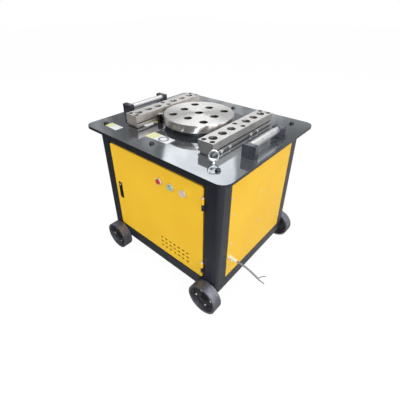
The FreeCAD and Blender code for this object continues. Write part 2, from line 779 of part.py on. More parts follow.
bar_screws = []
clamp_screws = []
for side, sign in sides:
    for across in (-1, 1):
        for along in (-1, 0, 1):
            spot = (f"{sign} * {bar_offset} + {across} * bar_screw_offset", f"{along} * bar_screw_reach")
            seat = f"({table_top} + bar_height - counterbore_depth)"
            head = rod("bar_screw_head", "bar_screw_head_radius", "bar_screw_head_height", (*spot, seat))
            key = hexagon("bar_screw_key", "bar_screw_head_radius * socket_key_share",
                          "bar_screw_head_height", (*spot, f"{seat} + bar_screw_head_height / 2"))
            shank = rod("bar_screw_shank", "bar_screw_shank_radius", "bar_height - counterbore_depth",
                        (*spot, table_top))
            bar_screws.append(fuse("bar_screw", cut("bar_screw_cap", head, key), shank))
    for spot_y in clamp_places(sign):
        face = f"({sign} * ({bar_offset} + bar_width / 2))"
        base_x = f"{face} - clamp_screw_depth" if sign > 0 else f"{face} - clamp_screw_reach"
        base = (base_x, spot_y, f"{table_top} + clamp_screw_level")
        shank = rod("clamp_shank", "clamp_screw_radius", "clamp_screw_depth + clamp_screw_reach", base, "X")
        cap_x = f"{face} + clamp_cap_gap" if sign > 0 else f"{face} - clamp_cap_gap - clamp_cap_height"
        cap = hexagon("clamp_cap", "clamp_cap_radius", "clamp_cap_height", (cap_x, spot_y, base[2]), "X")
        clamp_screws.append(fuse("clamp_screw", shank, cap))
node(group("bar_screw_set", bar_screws), "socket_bar_screws")
node(group("clamp_screw_set", clamp_screws), "bar_clamp_screws")

# Each end of the table has a steel roller on a shaft between two blocks, to feed bar over the edge.
block_centre = "(table_length / 2 - block_inset)"
block_screws = []
roller_shafts = []
for side, sign in sides:
    blocks = []
    roller_x = f"{sign} * ({block_centre} - block_roller_shift)"
    roller_z = f"{table_top} + roller_level"
    shaft = rod(f"{side}_shaft", "roller_shaft_radius", "front_block_reach + back_block_reach",
                (roller_x, "-front_block_reach", roller_z), "Y")
    roller_shafts.append(shaft)
    for end, centre_y in (("front", "(-front_block_reach)"), ("back", "back_block_reach")):
        low = (f"{sign} * {block_centre} - block_length / 2", f"{centre_y} - block_depth / 2", table_top)
        blank = box(f"{side}_{end}_block_blank", low, ("block_length", "block_depth", "block_height"))
        tools = [shaft]
        for across in (-1, 1):
            spot = (f"{sign} * {block_centre} + {across} * block_screw_spacing / 2", centre_y)
            seat = f"({table_top} + block_height - block_screw_sink)"
            tools.append(rod("block_sink", "block_screw_head_radius + block_screw_gap", "block_screw_sink",
                             (*spot, seat)))
            tools.append(rod("block_hole", "block_screw_shank_radius", "block_height", (*spot, table_top)))
            head = rod("block_screw_head", "block_screw_head_radius", "block_screw_head_height",
                       (*spot, seat))
            key = hexagon("block_screw_key", "block_screw_head_radius * socket_key_share",
                          "block_screw_head_height", (*spot, f"{seat} + block_screw_head_height / 2"))
            shank = rod("block_screw_shank", "block_screw_shank_radius", "block_height - block_screw_sink",
                        (*spot, table_top))
            block_screws.append(fuse("block_screw", cut("block_screw_cap", head, key), shank))
        blocks.append(cut(f"{side}_{end}_block", blank, *tools))
    node(group(f"{side}_block_pair", blocks), f"{side}_roller_blocks")
    low_y = "(-front_block_reach + block_depth / 2 + seat_gap)"
    high_y = "(back_block_reach - block_depth / 2 - seat_gap)"
    roller = tube(f"{side}_roller_tube", "roller_radius", "roller_shaft_radius + running_clearance",
                  f"{high_y} - {low_y}", (roller_x, low_y, roller_z), "Y")
    node(roller, f"{side}_roller")
node(group("block_screw_set", block_screws), "roller_block_screws")
node(group("roller_shaft_pair", roller_shafts), "roller_shafts")

# The working disc is a thick ground plate with nine sockets on a square grid, turned a little.
disc = document.addObject("PartDesign::Body", "DiscBody")
disc_sketch = sketch_on(disc, "XY_Plane", "disc_outline")
circle(disc_sketch, "0", "0", "disc_radius")
pad(disc, disc_sketch, "disc_thickness", "disc_slab")
disc_holes = sketch_on(disc, "XY_Plane", "disc_sockets")
for across in (-1, 0, 1):
    for along in (-1, 0, 1):
        circle(disc_holes, f"{across} * disc_hole_pitch", f"{along} * disc_hole_pitch", "disc_hole_radius")
drill(disc, disc_holes, "disc_socket_holes", True)
disc_low = f"({table_top} + disc_top_height - disc_thickness)"
place(disc, ("0", "0", disc_low), FreeCAD.Rotation(FreeCAD.Vector(0, 0, 1), size("disc_turn")))
disc.setExpression("Placement.Rotation.Angle", rule("disc_turn"))
node(disc, "work_disc")

# The spindle is one forging: a flange under the disc and a shaft down into the gear case.
flange_low = f"({table_top} + spindle_gap)"
flange = rod("spindle_flange", "spindle_flange_radius", f"{disc_low} - {flange_low}", ("0", "0", flange_low))
spindle_low = f"({frame_top} - case_depth - bearing_width - spindle_tail)"
spindle_shaft = rod("spindle_shaft", "spindle_radius", f"{disc_low} - {spindle_low}", ("0", "0", spindle_low))
node(fuse("spindle", flange, spindle_shaft), "main_spindle")

# Two small screws in the disc's rim lock it on the spindle flange.
rim_screws = []
for angle in (size("rim_screw_angle"), size("rim_screw_angle") + 180):
    screw = document.addObject("Part::Cylinder", "rim_screw")
    bind(screw, "Radius", "rim_screw_radius")
    bind(screw, "Height", "rim_screw_reach")
    lean = FreeCAD.Rotation(FreeCAD.Vector(0, 0, 1), angle).multiply(turns["X"])
    reach = "(disc_radius - rim_screw_seat)"
    place(screw, (f"{reach} * cos({angle} deg)", f"{reach} * sin({angle} deg)",
                  f"{disc_low} + rim_screw_rise"), lean)
    rim_screws.append(screw)
rim_pair = group("rim_screw_pair", rim_screws)
disc_round = rod("disc_round", "disc_radius", "disc_thickness", ("0", "0", disc_low))
node(cut("rim_screws_fitted", rim_pair, disc_round), "disc_rim_screws")

# The gear case hangs under the table round the bull gear and its pinion.
centre_gap = "((bull_teeth + pinion_teeth) * gear_module / 2)"
case_low = f"({frame_top} - case_depth)"
bull_room = "(bull_teeth * gear_module / 2 + gear_module + case_room)"
pinion_room = "(pinion_bearing_radius + case_room)"


def case_shape(name, inset, low, length):
    """A round drum for the bull gear joined to a smaller one for the pinion."""
    drum = rod(name + "_drum", f"{bull_room} + {inset}", length, ("0", "0", low))
    small = rod(name + "_small", f"{pinion_room} + {inset}", length, (f"-{centre_gap}", "0", low))
    return fuse(name, drum, small)


shell = case_shape("case_shell", "case_wall", case_low, "case_depth")
room = case_shape("case_hollow", "0", f"{case_low} + case_wall", "case_depth - case_wall")
boss = rod("spindle_boss", "bearing_radius + case_wall", "bearing_width + case_wall",
           ("0", "0", f"{case_low} - bearing_width"))
pinion_boss = rod("pinion_boss", "pinion_bearing_radius + case_wall", "bearing_width",
                  (f"-{centre_gap}", "0", f"{case_low} - bearing_width"))
spindle_seat = rod("spindle_seat", "bearing_radius", "2 * (bearing_width + case_wall)",
                   ("0", "0", f"{case_low} - bearing_width"))
pinion_seat = rod("pinion_seat", "pinion_bearing_radius", "2 * (bearing_width + case_wall)",
                  (f"-{centre_gap}", "0", f"{case_low} - bearing_width"))
case_body = fuse("case_body", shell, boss, pinion_boss)
node(cut("case", case_body, room, spindle_seat, pinion_seat), "gear_case")

bearings = []
bearing_rows = (("spindle", "0", "bearing_radius", "spindle_radius"),
                ("pinion", f"-{centre_gap}", "pinion_bearing_radius", "pinion_shaft_radius"))
for name, centre, outer, inner in bearing_rows:
    bearings.append(tube(f"{name}_bearing", outer, f"{inner} + running_clearance", "bearing_width",
                         (centre, "0", f"{case_low} - bearing_width")))
node(group("bearing_set", bearings), "gear_case_bearings")


# Spur gears with straight-sided teeth, narrowed a little so that they mesh with backlash.
def gear_face(teeth, module, spin):
    """A toothed outline as a face, about the origin."""
    pitch = teeth * module / 2
    step = 2 * math.pi / teeth
    outer = pitch + module * size("tooth_tip_reach")
    root = pitch - module * size("tooth_root_depth")
    tip_share = size("tooth_tip_share")
    root_share = size("tooth_root_share")
    spots = []
    for index in range(teeth):
        middle = spin + index * step
        flank = ((root, -root_share), (outer, -tip_share), (outer, tip_share), (root, root_share))
        for radius, share in flank:
            angle = middle + share * step
            spots.append(FreeCAD.Vector(radius * math.cos(angle), radius * math.sin(angle), 0))
    return Part.Face(Part.makePolygon(spots + spots[:1]))


case_floor = size("wheel_radius") + size("axle_square") / 2 + size("frame_height") - size("case_depth")
gear_low = case_floor + size("case_wall") + size("gear_rise")
gear_width = size("gear_width")
bull_count = int(round(size("bull_teeth")))
pinion_count = int(round(size("pinion_teeth")))
module = size("gear_module")
pinion_x = -(bull_count + pinion_count) * module / 2
upward = FreeCAD.Vector(0, 0, 1)

bull_bore = Part.makeCylinder(size("spindle_radius"), gear_width)
bull_shape = gear_face(bull_count, module, math.pi / bull_count + math.pi).extrude(upward * gear_width)
bull = document.addObject("Part::Feature", "BullGear")
bull.Shape = bull_shape.cut(bull_bore)
bull.Placement = FreeCAD.Placement(FreeCAD.Vector(0, 0, gear_low), FreeCAD.Rotation())
node(bull, "bull_gear")

# The pinion is cut on its own shaft, which carries the driven pulley below the case.
shaft_reach = gear_low - case_floor + size("bearing_width") + size("pulley_drop") + size("pulley_width")
pinion_blank = gear_face(pinion_count, module, 0).extrude(upward * gear_width)
stub_foot = FreeCAD.Vector(0, 0, -shaft_reach)
pinion_stub = Part.makeCylinder(size("pinion_shaft_radius"), shaft_reach, stub_foot)
pinion = document.addObject("Part::Feature", "PinionShaft")
pinion.Shape = pinion_blank.fuse(pinion_stub).removeSplitter()
pinion.Placement = FreeCAD.Placement(FreeCAD.Vector(pinion_x, 0, gear_low), FreeCAD.Rotation())
node(pinion, "pinion_shaft")

# Two belts in grooves carry the motor's turning to the driven pulley.
stand_side = "(motor_radius + motor_stand_margin)"
motor_back = f"({frame_front} - rail_depth - motor_back_gap - {stand_side})"
pulley_low = f"({case_low} - bearing_width - pulley_drop - pulley_width)"


def pulley(name, radius, centre_x, centre_y, bore):
    """A pulley with two belt grooves, its radius measured to the outside of the belt."""
    base = (centre_x, centre_y, pulley_low)
    blank = rod(name + "_blank", f"{radius} + pulley_lip", "pulley_width", base)
    tools = [rod(name + "_bore", bore, "pulley_width", base)]
    width = "(belt_width + 2 * belt_gap)"
    for index in (-1, 1):
        level = f"{pulley_low} + pulley_width / 2 + {index} * belt_pitch / 2 - {width} / 2"
        tools.append(tube(name + "_groove", f"{radius} + 2 * pulley_lip",
                          f"{radius} - belt_thickness - belt_gap", width, (centre_x, centre_y, level)))
    return cut(name, blank, *tools)


node(pulley("big_pulley", "driven_pulley_radius", f"-{centre_gap}", "0", "pinion_shaft_radius"),
     "driven_pulley")
node(pulley("small_pulley", "motor_pulley_radius", "motor_across", motor_back, "motor_shaft_radius"),
     "motor_pulley")

belt_level = case_floor - size("bearing_width") - size("pulley_drop") - size("pulley_width") / 2
motor_y = size("cabinet_width") / 2 - size("rail_depth") - size("motor_back_gap")
motor_y = motor_y - size("motor_radius") - size("motor_stand_margin")
big_radius = size("driven_pulley_radius")
small_radius = size("motor_pulley_radius")
big_centre = FreeCAD.Vector(pinion_x, 0, 0)
small_centre = FreeCAD.Vector(size("motor_across"), motor_y, 0)


def belt_loop(shrink):
    """The closed line of two arcs and two straights round both pulleys."""
    reach = small_centre - big_centre
    heading = math.atan2(reach.y, reach.x)
    lean = math.acos((big_radius - small_radius) / reach.Length)
    rims = []
    for centre, radius in ((big_centre, big_radius - shrink), (small_centre, small_radius - shrink)):
        for angle in (heading + lean, heading - lean):
            rims.append(centre + FreeCAD.Vector(radius * math.cos(angle), radius * math.sin(angle), 0))
    far = big_centre - FreeCAD.Vector(math.cos(heading), math.sin(heading), 0) * (big_radius - shrink)
    near = small_centre + FreeCAD.Vector(math.cos(heading), math.sin(heading), 0) * (small_radius - shrink)
    edges = [Part.Arc(rims[1], far, rims[0]).toShape(), Part.LineSegment(rims[0], rims[2]).toShape(),
             Part.Arc(rims[2], near, rims[3]).toShape(), Part.LineSegment(rims[3], rims[1]).toShape()]
    return Part.Face(Part.Wire(edges))


belts = []
for index in (-1, 1):
    ring = belt_loop(0).cut(belt_loop(size("belt_thickness")))
    level = belt_level + index * size("belt_pitch") / 2 - size("belt_width") / 2
    ring.translate(FreeCAD.Vector(0, 0, level))
    belts.append(ring.extrude(upward * size("belt_width")))
belt_pair = document.addObject("Part::Feature", "Belts")
belt_pair.Shape = Part.makeCompound([solid for belt in belts for solid in belt.Solids])
node(belt_pair, "drive_belts")

# The motor stands upright on a folded stand on the cabinet's floor.
stand_low = f"({frame_low} + pan_thickness)"
motor_low = f"({pulley_low} - motor_pulley_gap - motor_height)"
stand_parts = [box("stand_top", (f"motor_across - {stand_side}", f"{motor_back} - {stand_side}",
                                 f"{motor_low} - motor_stand_wall"),
                   (f"2 * {stand_side}", f"2 * {stand_side}", "motor_stand_wall"))]
for across in (-1, 1):
    leg_x = f"motor_across + {across} * {stand_side} - {(across + 1) // 2} * motor_stand_wall"
    stand_parts.append(box("stand_leg", (leg_x, f"{motor_back} - {stand_side}", stand_low),
                           ("motor_stand_wall", f"2 * {stand_side}", f"{motor_low} - {stand_low}")))
node(fuse("stand", *stand_parts), "motor_stand")

motor_spot = ("motor_across", motor_back, motor_low)
motor_core = rod("motor_core", "motor_radius - fin_height", "motor_height", motor_spot)
motor_foot = rod("motor_foot", "motor_radius", "motor_foot_height", motor_spot)
motor_cap = rod("motor_cap", "motor_radius", "motor_cap_height",
                (*motor_spot[:2], f"{motor_low} + motor_height - motor_cap_height"))
fins = []
for index in range(int(round(size("fin_count")))):
    angle = 360.0 * index / round(size("fin_count"))
    fin = document.addObject("Part::Box", "motor_fin")
    bind(fin, "Length", "fin_height + fin_root")
    bind(fin, "Width", "fin_thickness")
    bind(fin, "Height", "motor_height")
    reach = "(motor_radius - fin_height - fin_root)"
    spot_x = f"motor_across + {reach} * cos({angle} deg) + fin_thickness / 2 * sin({angle} deg)"
    spot_y = f"{motor_back} + {reach} * sin({angle} deg) - fin_thickness / 2 * cos({angle} deg)"
    place(fin, (spot_x, spot_y, motor_low), FreeCAD.Rotation(upward, angle))
    fins.append(fin)
motor_bore = rod("motor_bore", "motor_shaft_radius + running_clearance", "motor_height",
                 (*motor_spot[:2], f"{motor_low} + motor_bore_floor"))
motor_solid = fuse("motor_solid", motor_core, motor_foot, motor_cap, *fins)
node(cut("motor", motor_solid, motor_bore), "motor_housing")
terminal_low = ("motor_across - terminal_box_width / 2", f"{motor_back} - motor_radius - terminal_box_depth",
                f"{motor_low} + terminal_box_rise")
terminal_blank = box("terminal_blank", terminal_low,
                     ("terminal_box_width", "terminal_box_depth + terminal_box_saddle",
                      "terminal_box_height"))
terminal_seat = rod("terminal_seat", "motor_radius + running_clearance", "motor_height", motor_spot)
node(cut("terminal", terminal_blank, terminal_seat), "motor_terminal_box")
shaft_low = f"({motor_low} + motor_bore_floor + seat_gap)"
node(rod("rotor", "motor_shaft_radius", f"{pulley_low} + pulley_width - {shaft_low}",
         (*motor_spot[:2], shaft_low)), "motor_shaft")

# Two square bars under the frame carry the wheels on their turned ends.
axles = []
retainers = []
wheel_inner = f"({frame_front} + wheel_stand_off)"
hub_outer = f"({wheel_inner} + wheel_width - wheel_hub_recess)"
axle_end = f"({hub_outer} + seat_gap + axle_washer_thickness + axle_end_stand_out)"
beam_reach = f"({wheel_inner} - seat_gap)"
axle_lines = [(side, sign, f"({frame_side} - {side}_wheel_inset)") for side, sign in sides]
for side, sign, offset in axle_lines:
    centre_x = f"{sign} * {offset}"
    beam = box(f"{side}_beam",
               (f"{centre_x} - axle_square / 2", f"-{beam_reach}", "wheel_radius - axle_square / 2"),
               ("axle_square", f"2 * {beam_reach}", "axle_square"))
    ends = rod(f"{side}_axle_ends", "axle_end_radius", f"2 * {axle_end}",
               (centre_x, f"-{axle_end}", "wheel_radius"), "Y")
    axles.append(fuse(f"{side}_axle", beam, ends))
    for along in (-1, 1):
        washer_face = f"({hub_outer} + seat_gap + axle_washer_thickness)"
        washer_y = low_edge(along, washer_face, "axle_washer_thickness")
        retainers.append(tube(f"{side}_washer", "axle_washer_radius", "axle_end_radius",
                              "axle_washer_thickness", (centre_x, washer_y, "wheel_radius"), "Y"))
node(group("axle_pair", axles), "wheel_axles")
node(group("washer_set", retainers), "axle_retainers")


# The wheels are cast iron, with a rim, a thin web set back from the outer face and a hub.
def wheel(name, sign, offset, along):
    """One wheel as a turned profile, its axis along Y."""
    body = document.addObject("PartDesign::Body", name + "_body")
    profile = sketch_on(body, "XY_Plane", name + "_profile")
    bore = "axle_end_radius + running_clearance"
    rim_inner = "wheel_radius - wheel_rim_wall"
    web_near = "wheel_web_depth + wheel_web"
    polygon(profile, [
        (bore, "wheel_hub_recess"), ("wheel_hub_radius", "wheel_hub_recess"),
        ("wheel_hub_radius", "wheel_web_depth"), (rim_inner, "wheel_web_depth"),
        (rim_inner, "0"), ("wheel_radius", "0"), ("wheel_radius", "wheel_width"), (rim_inner, "wheel_width"),
        (rim_inner, web_near), ("wheel_hub_radius", web_near), ("wheel_hub_radius", "wheel_width"),
        (bore, "wheel_width")])
    turned = body.newObject("PartDesign::Revolution", name + "_turned")
    turned.Profile = profile
    turned.ReferenceAxis = (profile, ["V_Axis"])
    turned.Angle = 360
    body.Tip = turned
    outer = f"({wheel_inner} + wheel_width)"
    turn = FreeCAD.Rotation(upward, 0 if along < 0 else 180)
    return place(body, (f"{sign} * {offset}", f"{along} * {outer}", "wheel_radius"), turn)


for side, sign, offset in axle_lines:
    for end, along in (("front", -1), ("back", 1)):
        node(wheel(f"{side}_{end}", sign, offset, along), f"{end}_{side}_wheel")

# The cable gland screws into the right panel and lets out the supply cable.
gland_face = f"({frame_side} - panel_recess)"
gland_parts = [
    hexagon("gland_hexagon", "gland_hex_radius", "gland_hex_height", (gland_face, gland_y, gland_z), "X"),
    rod("gland_thread", "gland_dome_radius", "gland_hex_height + gland_thread_length",
        (f"{gland_face} - gland_thread_length", gland_y, gland_z), "X"),
    rod("gland_nut", "gland_hex_radius", "gland_nut_thickness",
        (f"{gland_face} - panel_thickness - gland_nut_thickness", gland_y, gland_z), "X"),
    rod("gland_body", "gland_dome_radius", "gland_cap_height",
        (f"{gland_face} + gland_hex_height", gland_y, gland_z), "X"),
    taper("gland_relief", "gland_dome_radius - gland_relief_step", "gland_bore + gland_mouth_wall",
          "gland_length - gland_hex_height - gland_cap_height",
          (f"{gland_face} + gland_hex_height + gland_cap_height", gland_y, gland_z), "X"),
]
gland_bore = rod("gland_bore_tool", "gland_bore", "2 * gland_length",
                 (f"{gland_face} - gland_length", gland_y, gland_z), "X")
node(cut("gland", fuse("gland_solid", *gland_parts), gland_bore), "cable_gland")


# The supply cable and its three bare-ended cores are stiff tubes of straight runs and tangent arcs.
def route_wire(points):
    """Straight runs joined by arcs, each arc as large as its two runs allow."""
    arc_share = 0.45
    edges = []
    radii = []
    start = points[0]
    for before, corner, after in zip(points, points[1:], points[2:]):
        into = corner - before
        out = after - corner
        turn = into.getAngle(out)
        reach = arc_share * min(into.Length, out.Length)
        radii.append(reach / math.tan(turn / 2))
        first = corner - into.normalize() * reach
        last = corner + out.normalize() * reach
        middle = (first + last) * 0.5
        towards = middle - corner
        depth = radii[-1] * (1 / math.cos(turn / 2) - 1)
        apex = corner + towards.normalize() * depth
        edges.append(Part.LineSegment(start, first).toShape())
        edges.append(Part.Arc(first, apex, last).toShape())
        start = last
    edges.append(Part.LineSegment(start, points[-1]).toShape())
    return Part.Wire(edges), radii


def cord(name, points, diameter):
    """A round tube along a route, its volume checked against section times length."""
    wire, radii = route_wire(points)
    heading = points[1] - points[0]
    ring = Part.Wire([Part.Circle(points[0], heading, diameter / 2).toShape()])
    solid = wire.makePipeShell([ring], True, False)
    expected = math.pi * diameter ** 2 / 4 * wire.Length
    print(name, "radii", [round(radius, 1) for radius in radii], "length", round(wire.Length, 1),
          "volume ratio", round(solid.Volume / expected, 4))
    return solid


gland_mouth = size("cabinet_length") / 2 - size("panel_recess") + size("gland_length")
cable_y = size("gland_inset") + size("post_width") - size("cabinet_width") / 2
cable_z = size("wheel_radius") + size("axle_square") / 2 + size("bottom_rail_height") + size("gland_rise")
cable_route = [(-size("cable_grip"), 0, 0), (26, 0, 0), (66, 1.5, -7.5), (110, 0, -25)]
cable_points = [FreeCAD.Vector(gland_mouth + x, cable_y + y, cable_z + z) for x, y, z in cable_route]
cable = document.addObject("Part::Feature", "SupplyCable")
cable.Shape = cord("supply_cable", cable_points, size("cable_diameter"))
node(cable, "supply_cable")

cores = []
spread = size("core_spread")
core_routes = [
    ((0, 0, spread), (9, 1, spread + 4), (18, 2, spread + 25), (34, 3, spread + 33)),
    ((0, -spread, -spread / 2), (13, -spread - 1, -spread / 2 - 4), (34, -spread - 2, -spread / 2 + 1)),
    ((0, spread, -spread / 2), (12, spread + 1, -spread / 2 - 8), (32, spread + 3, -spread / 2 - 17)),
]
for number, core_route in enumerate(core_routes, start=1):
    core_points = [cable_points[-1] + FreeCAD.Vector(x, y, z) for x, y, z in core_route]
    cores.append(cord(f"core {number}", core_points, size("core_diameter")))
core_set = document.addObject("Part::Feature", "CableCores")
core_set.Shape = Part.makeCompound(cores)
node(core_set, "cable_cores")

# The limit switch stands beside the disc, its roller arm towards the disc.
arm_angle = size("switch_angle")
toward_x = f"cos({arm_angle} deg)"
toward_y = f"sin({arm_angle} deg)"
switch_x = f"(-(disc_radius + switch_gap) * {toward_x})"
switch_y = f"(-(disc_radius + switch_gap) * {toward_y})"
switch_top = f"({table_top} + switch_height)"
switch_low = (f"{switch_x} - switch_length / 2", f"{switch_y} - switch_depth / 2", table_top)
switch_block = box("switch_block", switch_low, ("switch_length", "switch_depth", "switch_height"))
switch_head = rod("switch_head", "switch_length / 2 - switch_head_inset", "switch_head_height",
                  (switch_x, switch_y, switch_top))
switch_bore = rod("switch_bore", "switch_shaft_radius + running_clearance", "switch_height",
                  (switch_x, switch_y, f"{switch_top} - switch_shaft_depth - switch_bore_floor"))
node(cut("switch", fuse("switch_solid", switch_block, switch_head), switch_bore), "switch_body")
arm_low = f"({switch_top} + switch_head_height + seat_gap)"
arm_hub = rod("arm_hub", "switch_hub_radius", "switch_arm_thickness", (switch_x, switch_y, arm_low))
arm_pin = rod("arm_pin", "switch_shaft_radius", f"{arm_low} - {switch_top} + switch_shaft_depth",
              (switch_x, switch_y, f"{switch_top} - switch_shaft_depth"))
arm_bar = document.addObject("Part::Box", "arm_bar")
bind(arm_bar, "Length", "switch_arm_reach")
bind(arm_bar, "Width", "switch_arm_width")
bind(arm_bar, "Height", "switch_arm_thickness")
arm_base = (f"{switch_x} + switch_arm_width / 2 * {toward_y}",
            f"{switch_y} - switch_arm_width / 2 * {toward_x}", arm_low)
place(arm_bar, arm_base, FreeCAD.Rotation(upward, arm_angle))
roller_spot = (f"{switch_x} + switch_arm_reach * {toward_x}",
               f"{switch_y} + switch_arm_reach * {toward_y}", arm_low)
arm_roller = rod("arm_roller", "switch_roller_radius", "switch_roller_length", roller_spot)
node(fuse("switch_arm", arm_hub, arm_pin, arm_bar, arm_roller), "switch_lever")

# The door is a folded sheet tray, hinged at its right edge and vented near its foot.
door_side = f"({opening_side} - door_gap)"
door_low = f"({opening_low} + door_foot_gap)"
door_high = f"({opening_high} - door_gap)"
door_face = f"(-{frame_front})"
button_level = f"({door_high} - button_drop)"
lock_x = f"(lock_inset - {door_side})"
lock_level = f"({door_high} - lock_drop)"
door = document.addObject("PartDesign::Body", "DoorBody")
door_sketch = sketch_on(door, "XY_Plane", "door_outline")
door_half = f"(({door_high} - {door_low}) / 2)"
polygon(door_sketch, [(f"-{door_side}", f"-{door_half}"), (f"-{door_side}", door_half),
                      (door_side, door_half), (door_side, f"-{door_half}")])
door_pad = pad(door, door_sketch, "door_depth", "door_block")
document.recompute()
door_round = door.newObject("PartDesign::Fillet", "door_corners")
door_x = size("cabinet_length") / 2 - size("post_width") - size("door_gap")
door_z = size("frame_height") - size("top_rail_height") - size("bottom_rail_height")
door_z = (door_z - size("door_gap") - size("door_foot_gap")) / 2
door_round.Base = (door_pad, upright_edges(door_pad.Shape, door_x, door_z))
bind(door_round, "Radius", "door_corner_radius")
tray = door.newObject("Sketcher::SketchObject", "door_tray")
tray.AttachmentSupport = [(plane_of(door, "XY_Plane"), "")]
tray.MapMode = "FlatFace"
inner_x = f"({door_side} - door_sheet)"
inner_z = f"({door_half} - door_sheet)"
polygon(tray, [(f"-{inner_x}", f"-{inner_z}"), (f"-{inner_x}", inner_z),
               (inner_x, inner_z), (inner_x, f"-{inner_z}")])
hollow = door.newObject("PartDesign::Pocket", "door_hollow")
hollow.Profile = tray
bind(hollow, "Length", "door_depth - door_sheet")
hollow.Reversed = True
openings = sketch_on(door, "XY_Plane", "door_holes")
for index in range(3):
    circle(openings, f"button_first + {index} * button_spacing", f"{door_half} - button_drop",
           "barrel_radius")
drill(door, openings, "door_through_holes", True)
lock_cut = sketch_on(door, "XY_Plane", "door_lock_cut")
lock_left = f"({lock_x} - lock_width / 2 + lock_rim)"
lock_right = f"({lock_x} + lock_width / 2 - lock_rim)"
lock_bottom = f"({door_half} - lock_drop - lock_height / 2 + lock_rim)"
lock_upper = f"({door_half} - lock_drop + lock_height / 2 - lock_rim)"
polygon(lock_cut, [(lock_left, lock_bottom), (lock_left, lock_upper),
                   (lock_right, lock_upper), (lock_right, lock_bottom)])
drill(door, lock_cut, "door_lock_hole", True)
upright = FreeCAD.Rotation(FreeCAD.Vector(1, 0, 0), 90)
place(door, ("0", f"{door_face} + door_depth", f"({door_low} + {door_high}) / 2"), upright)

# The vents near the door's foot are short level slots with round ends.
vents = []
vent_reach = "(vent_length / 2 - vent_radius)"
vent_face = f"{door_face} - door_sheet / 2"
for column_index in range(int(round(size("vent_columns")))):
    centre_x = f"(vent_first + {column_index} * vent_pitch)"
    for row_index in range(int(round(size("vent_rows")))):
        level = f"({door_low} + vent_rise + {row_index} * vent_row_pitch)"
        for along in (-1, 1):
            spot = (f"{centre_x} + {along} * {vent_reach}", vent_face, level)
            vents.append(rod("vent_end", "vent_radius", "2 * door_sheet", spot, "Y"))
        vents.append(box("vent_middle", (f"{centre_x} - {vent_reach}", vent_face, f"{level} - vent_radius"),
                         (f"2 * {vent_reach}", "2 * door_sheet", "2 * vent_radius")))
node(cut("vented_door", door, *vents), "front_door")

# Lift-off hinges: a half with its pin is welded to the post, the other half to the door.
hinge_x = f"({opening_side} - door_gap / 2)"
hinge_y = f"({door_face} - hinge_radius - seat_gap)"
fixed_halves = []
door_halves = []
hinge_levels = (("low", f"({door_low} + hinge_low_rise)"), ("high", f"({door_high} - hinge_high_drop)"))
for name, level in hinge_levels:
    lower = f"{level} - hinge_half"
    barrel = rod(f"{name}_fixed_barrel", "hinge_radius", "hinge_half", (hinge_x, hinge_y, lower))
    pin = rod(f"{name}_pin", "hinge_pin_radius", "2 * hinge_half - hinge_pin_short",
              (hinge_x, hinge_y, lower))
    pad_block = box(f"{name}_fixed_pad", (f"{opening_side} + seat_gap", hinge_y, lower),
                    ("hinge_pad", "hinge_radius + seat_gap", "hinge_half"))
    fixed_halves.append(fuse(f"{name}_fixed_half", barrel, pin, pad_block))
    upper = f"{level} + seat_gap"
    sleeve = rod(f"{name}_sleeve", "hinge_radius", "hinge_half", (hinge_x, hinge_y, upper))
    door_pad_block = box(f"{name}_door_pad", (f"{door_side} - hinge_pad", hinge_y, upper),
                         ("hinge_pad - seat_gap", "hinge_radius + seat_gap", "hinge_half"))
    bore = rod(f"{name}_sleeve_bore", "hinge_pin_radius + running_clearance",
               "hinge_half - hinge_sleeve_floor", (hinge_x, hinge_y, upper))
    door_halves.append(cut(f"{name}_door_half", fuse(f"{name}_door_solid", sleeve, door_pad_block), bore))
node(group("fixed_half_pair", fixed_halves), "hinge_lower_halves")
node(group("door_half_pair", door_halves), "hinge_upper_halves")

# Three push buttons: a bezel with its threaded barrel, a sprung cap and a contact block behind.
bezels = []
contact_blocks = []
for index, colour in enumerate(("red", "green", "white")):
    centre_x = f"(button_first + {index} * button_spacing)"
    front = (centre_x, f"{door_face} - bezel_height", button_level)
    ring = rod("bezel_ring", "bezel_radius", "bezel_height", front, "Y")
    barrel = rod("bezel_barrel", "barrel_radius", "barrel_length", (centre_x, door_face, button_level), "Y")
    nut = rod("bezel_nut", "bezel_radius", "bezel_nut_thickness",
              (centre_x, f"{door_face} + door_sheet", button_level), "Y")
    mouth = rod("bezel_mouth", "button_radius + button_side_gap", "bezel_height - bezel_floor", front, "Y")
    bore = rod("bezel_bore", "stem_radius + running_clearance", "barrel_length + bezel_height", front, "Y")
    bezels.append(cut("bezel", fuse("bezel_solid", ring, barrel, nut), mouth, bore))
    contact_blocks.append(box("contact", (f"{centre_x} - contact_width / 2", f"{door_face} + barrel_length",
                                          f"{button_level} - contact_height / 2"),
                              ("contact_width", "contact_depth", "contact_height")))
    cap_front = f"({door_face} - bezel_floor - button_travel - seat_gap - button_cap)"
    cap = rod(f"{colour}_cap", "button_radius", "button_cap", (centre_x, cap_front, button_level), "Y")
    stem_end = f"({door_face} + barrel_length - button_travel - seat_gap)"
    stem_start = f"({cap_front} + button_cap / 2)"
    stem = rod(f"{colour}_stem", "stem_radius", f"{stem_end} - {stem_start}",
               (centre_x, stem_start, button_level), "Y")
    node(fuse(f"{colour}_button_solid", cap, stem), f"{colour}_button")
node(group("bezel_set", bezels), "button_bezels")
node(group("contact_set", contact_blocks), "contact_blocks")

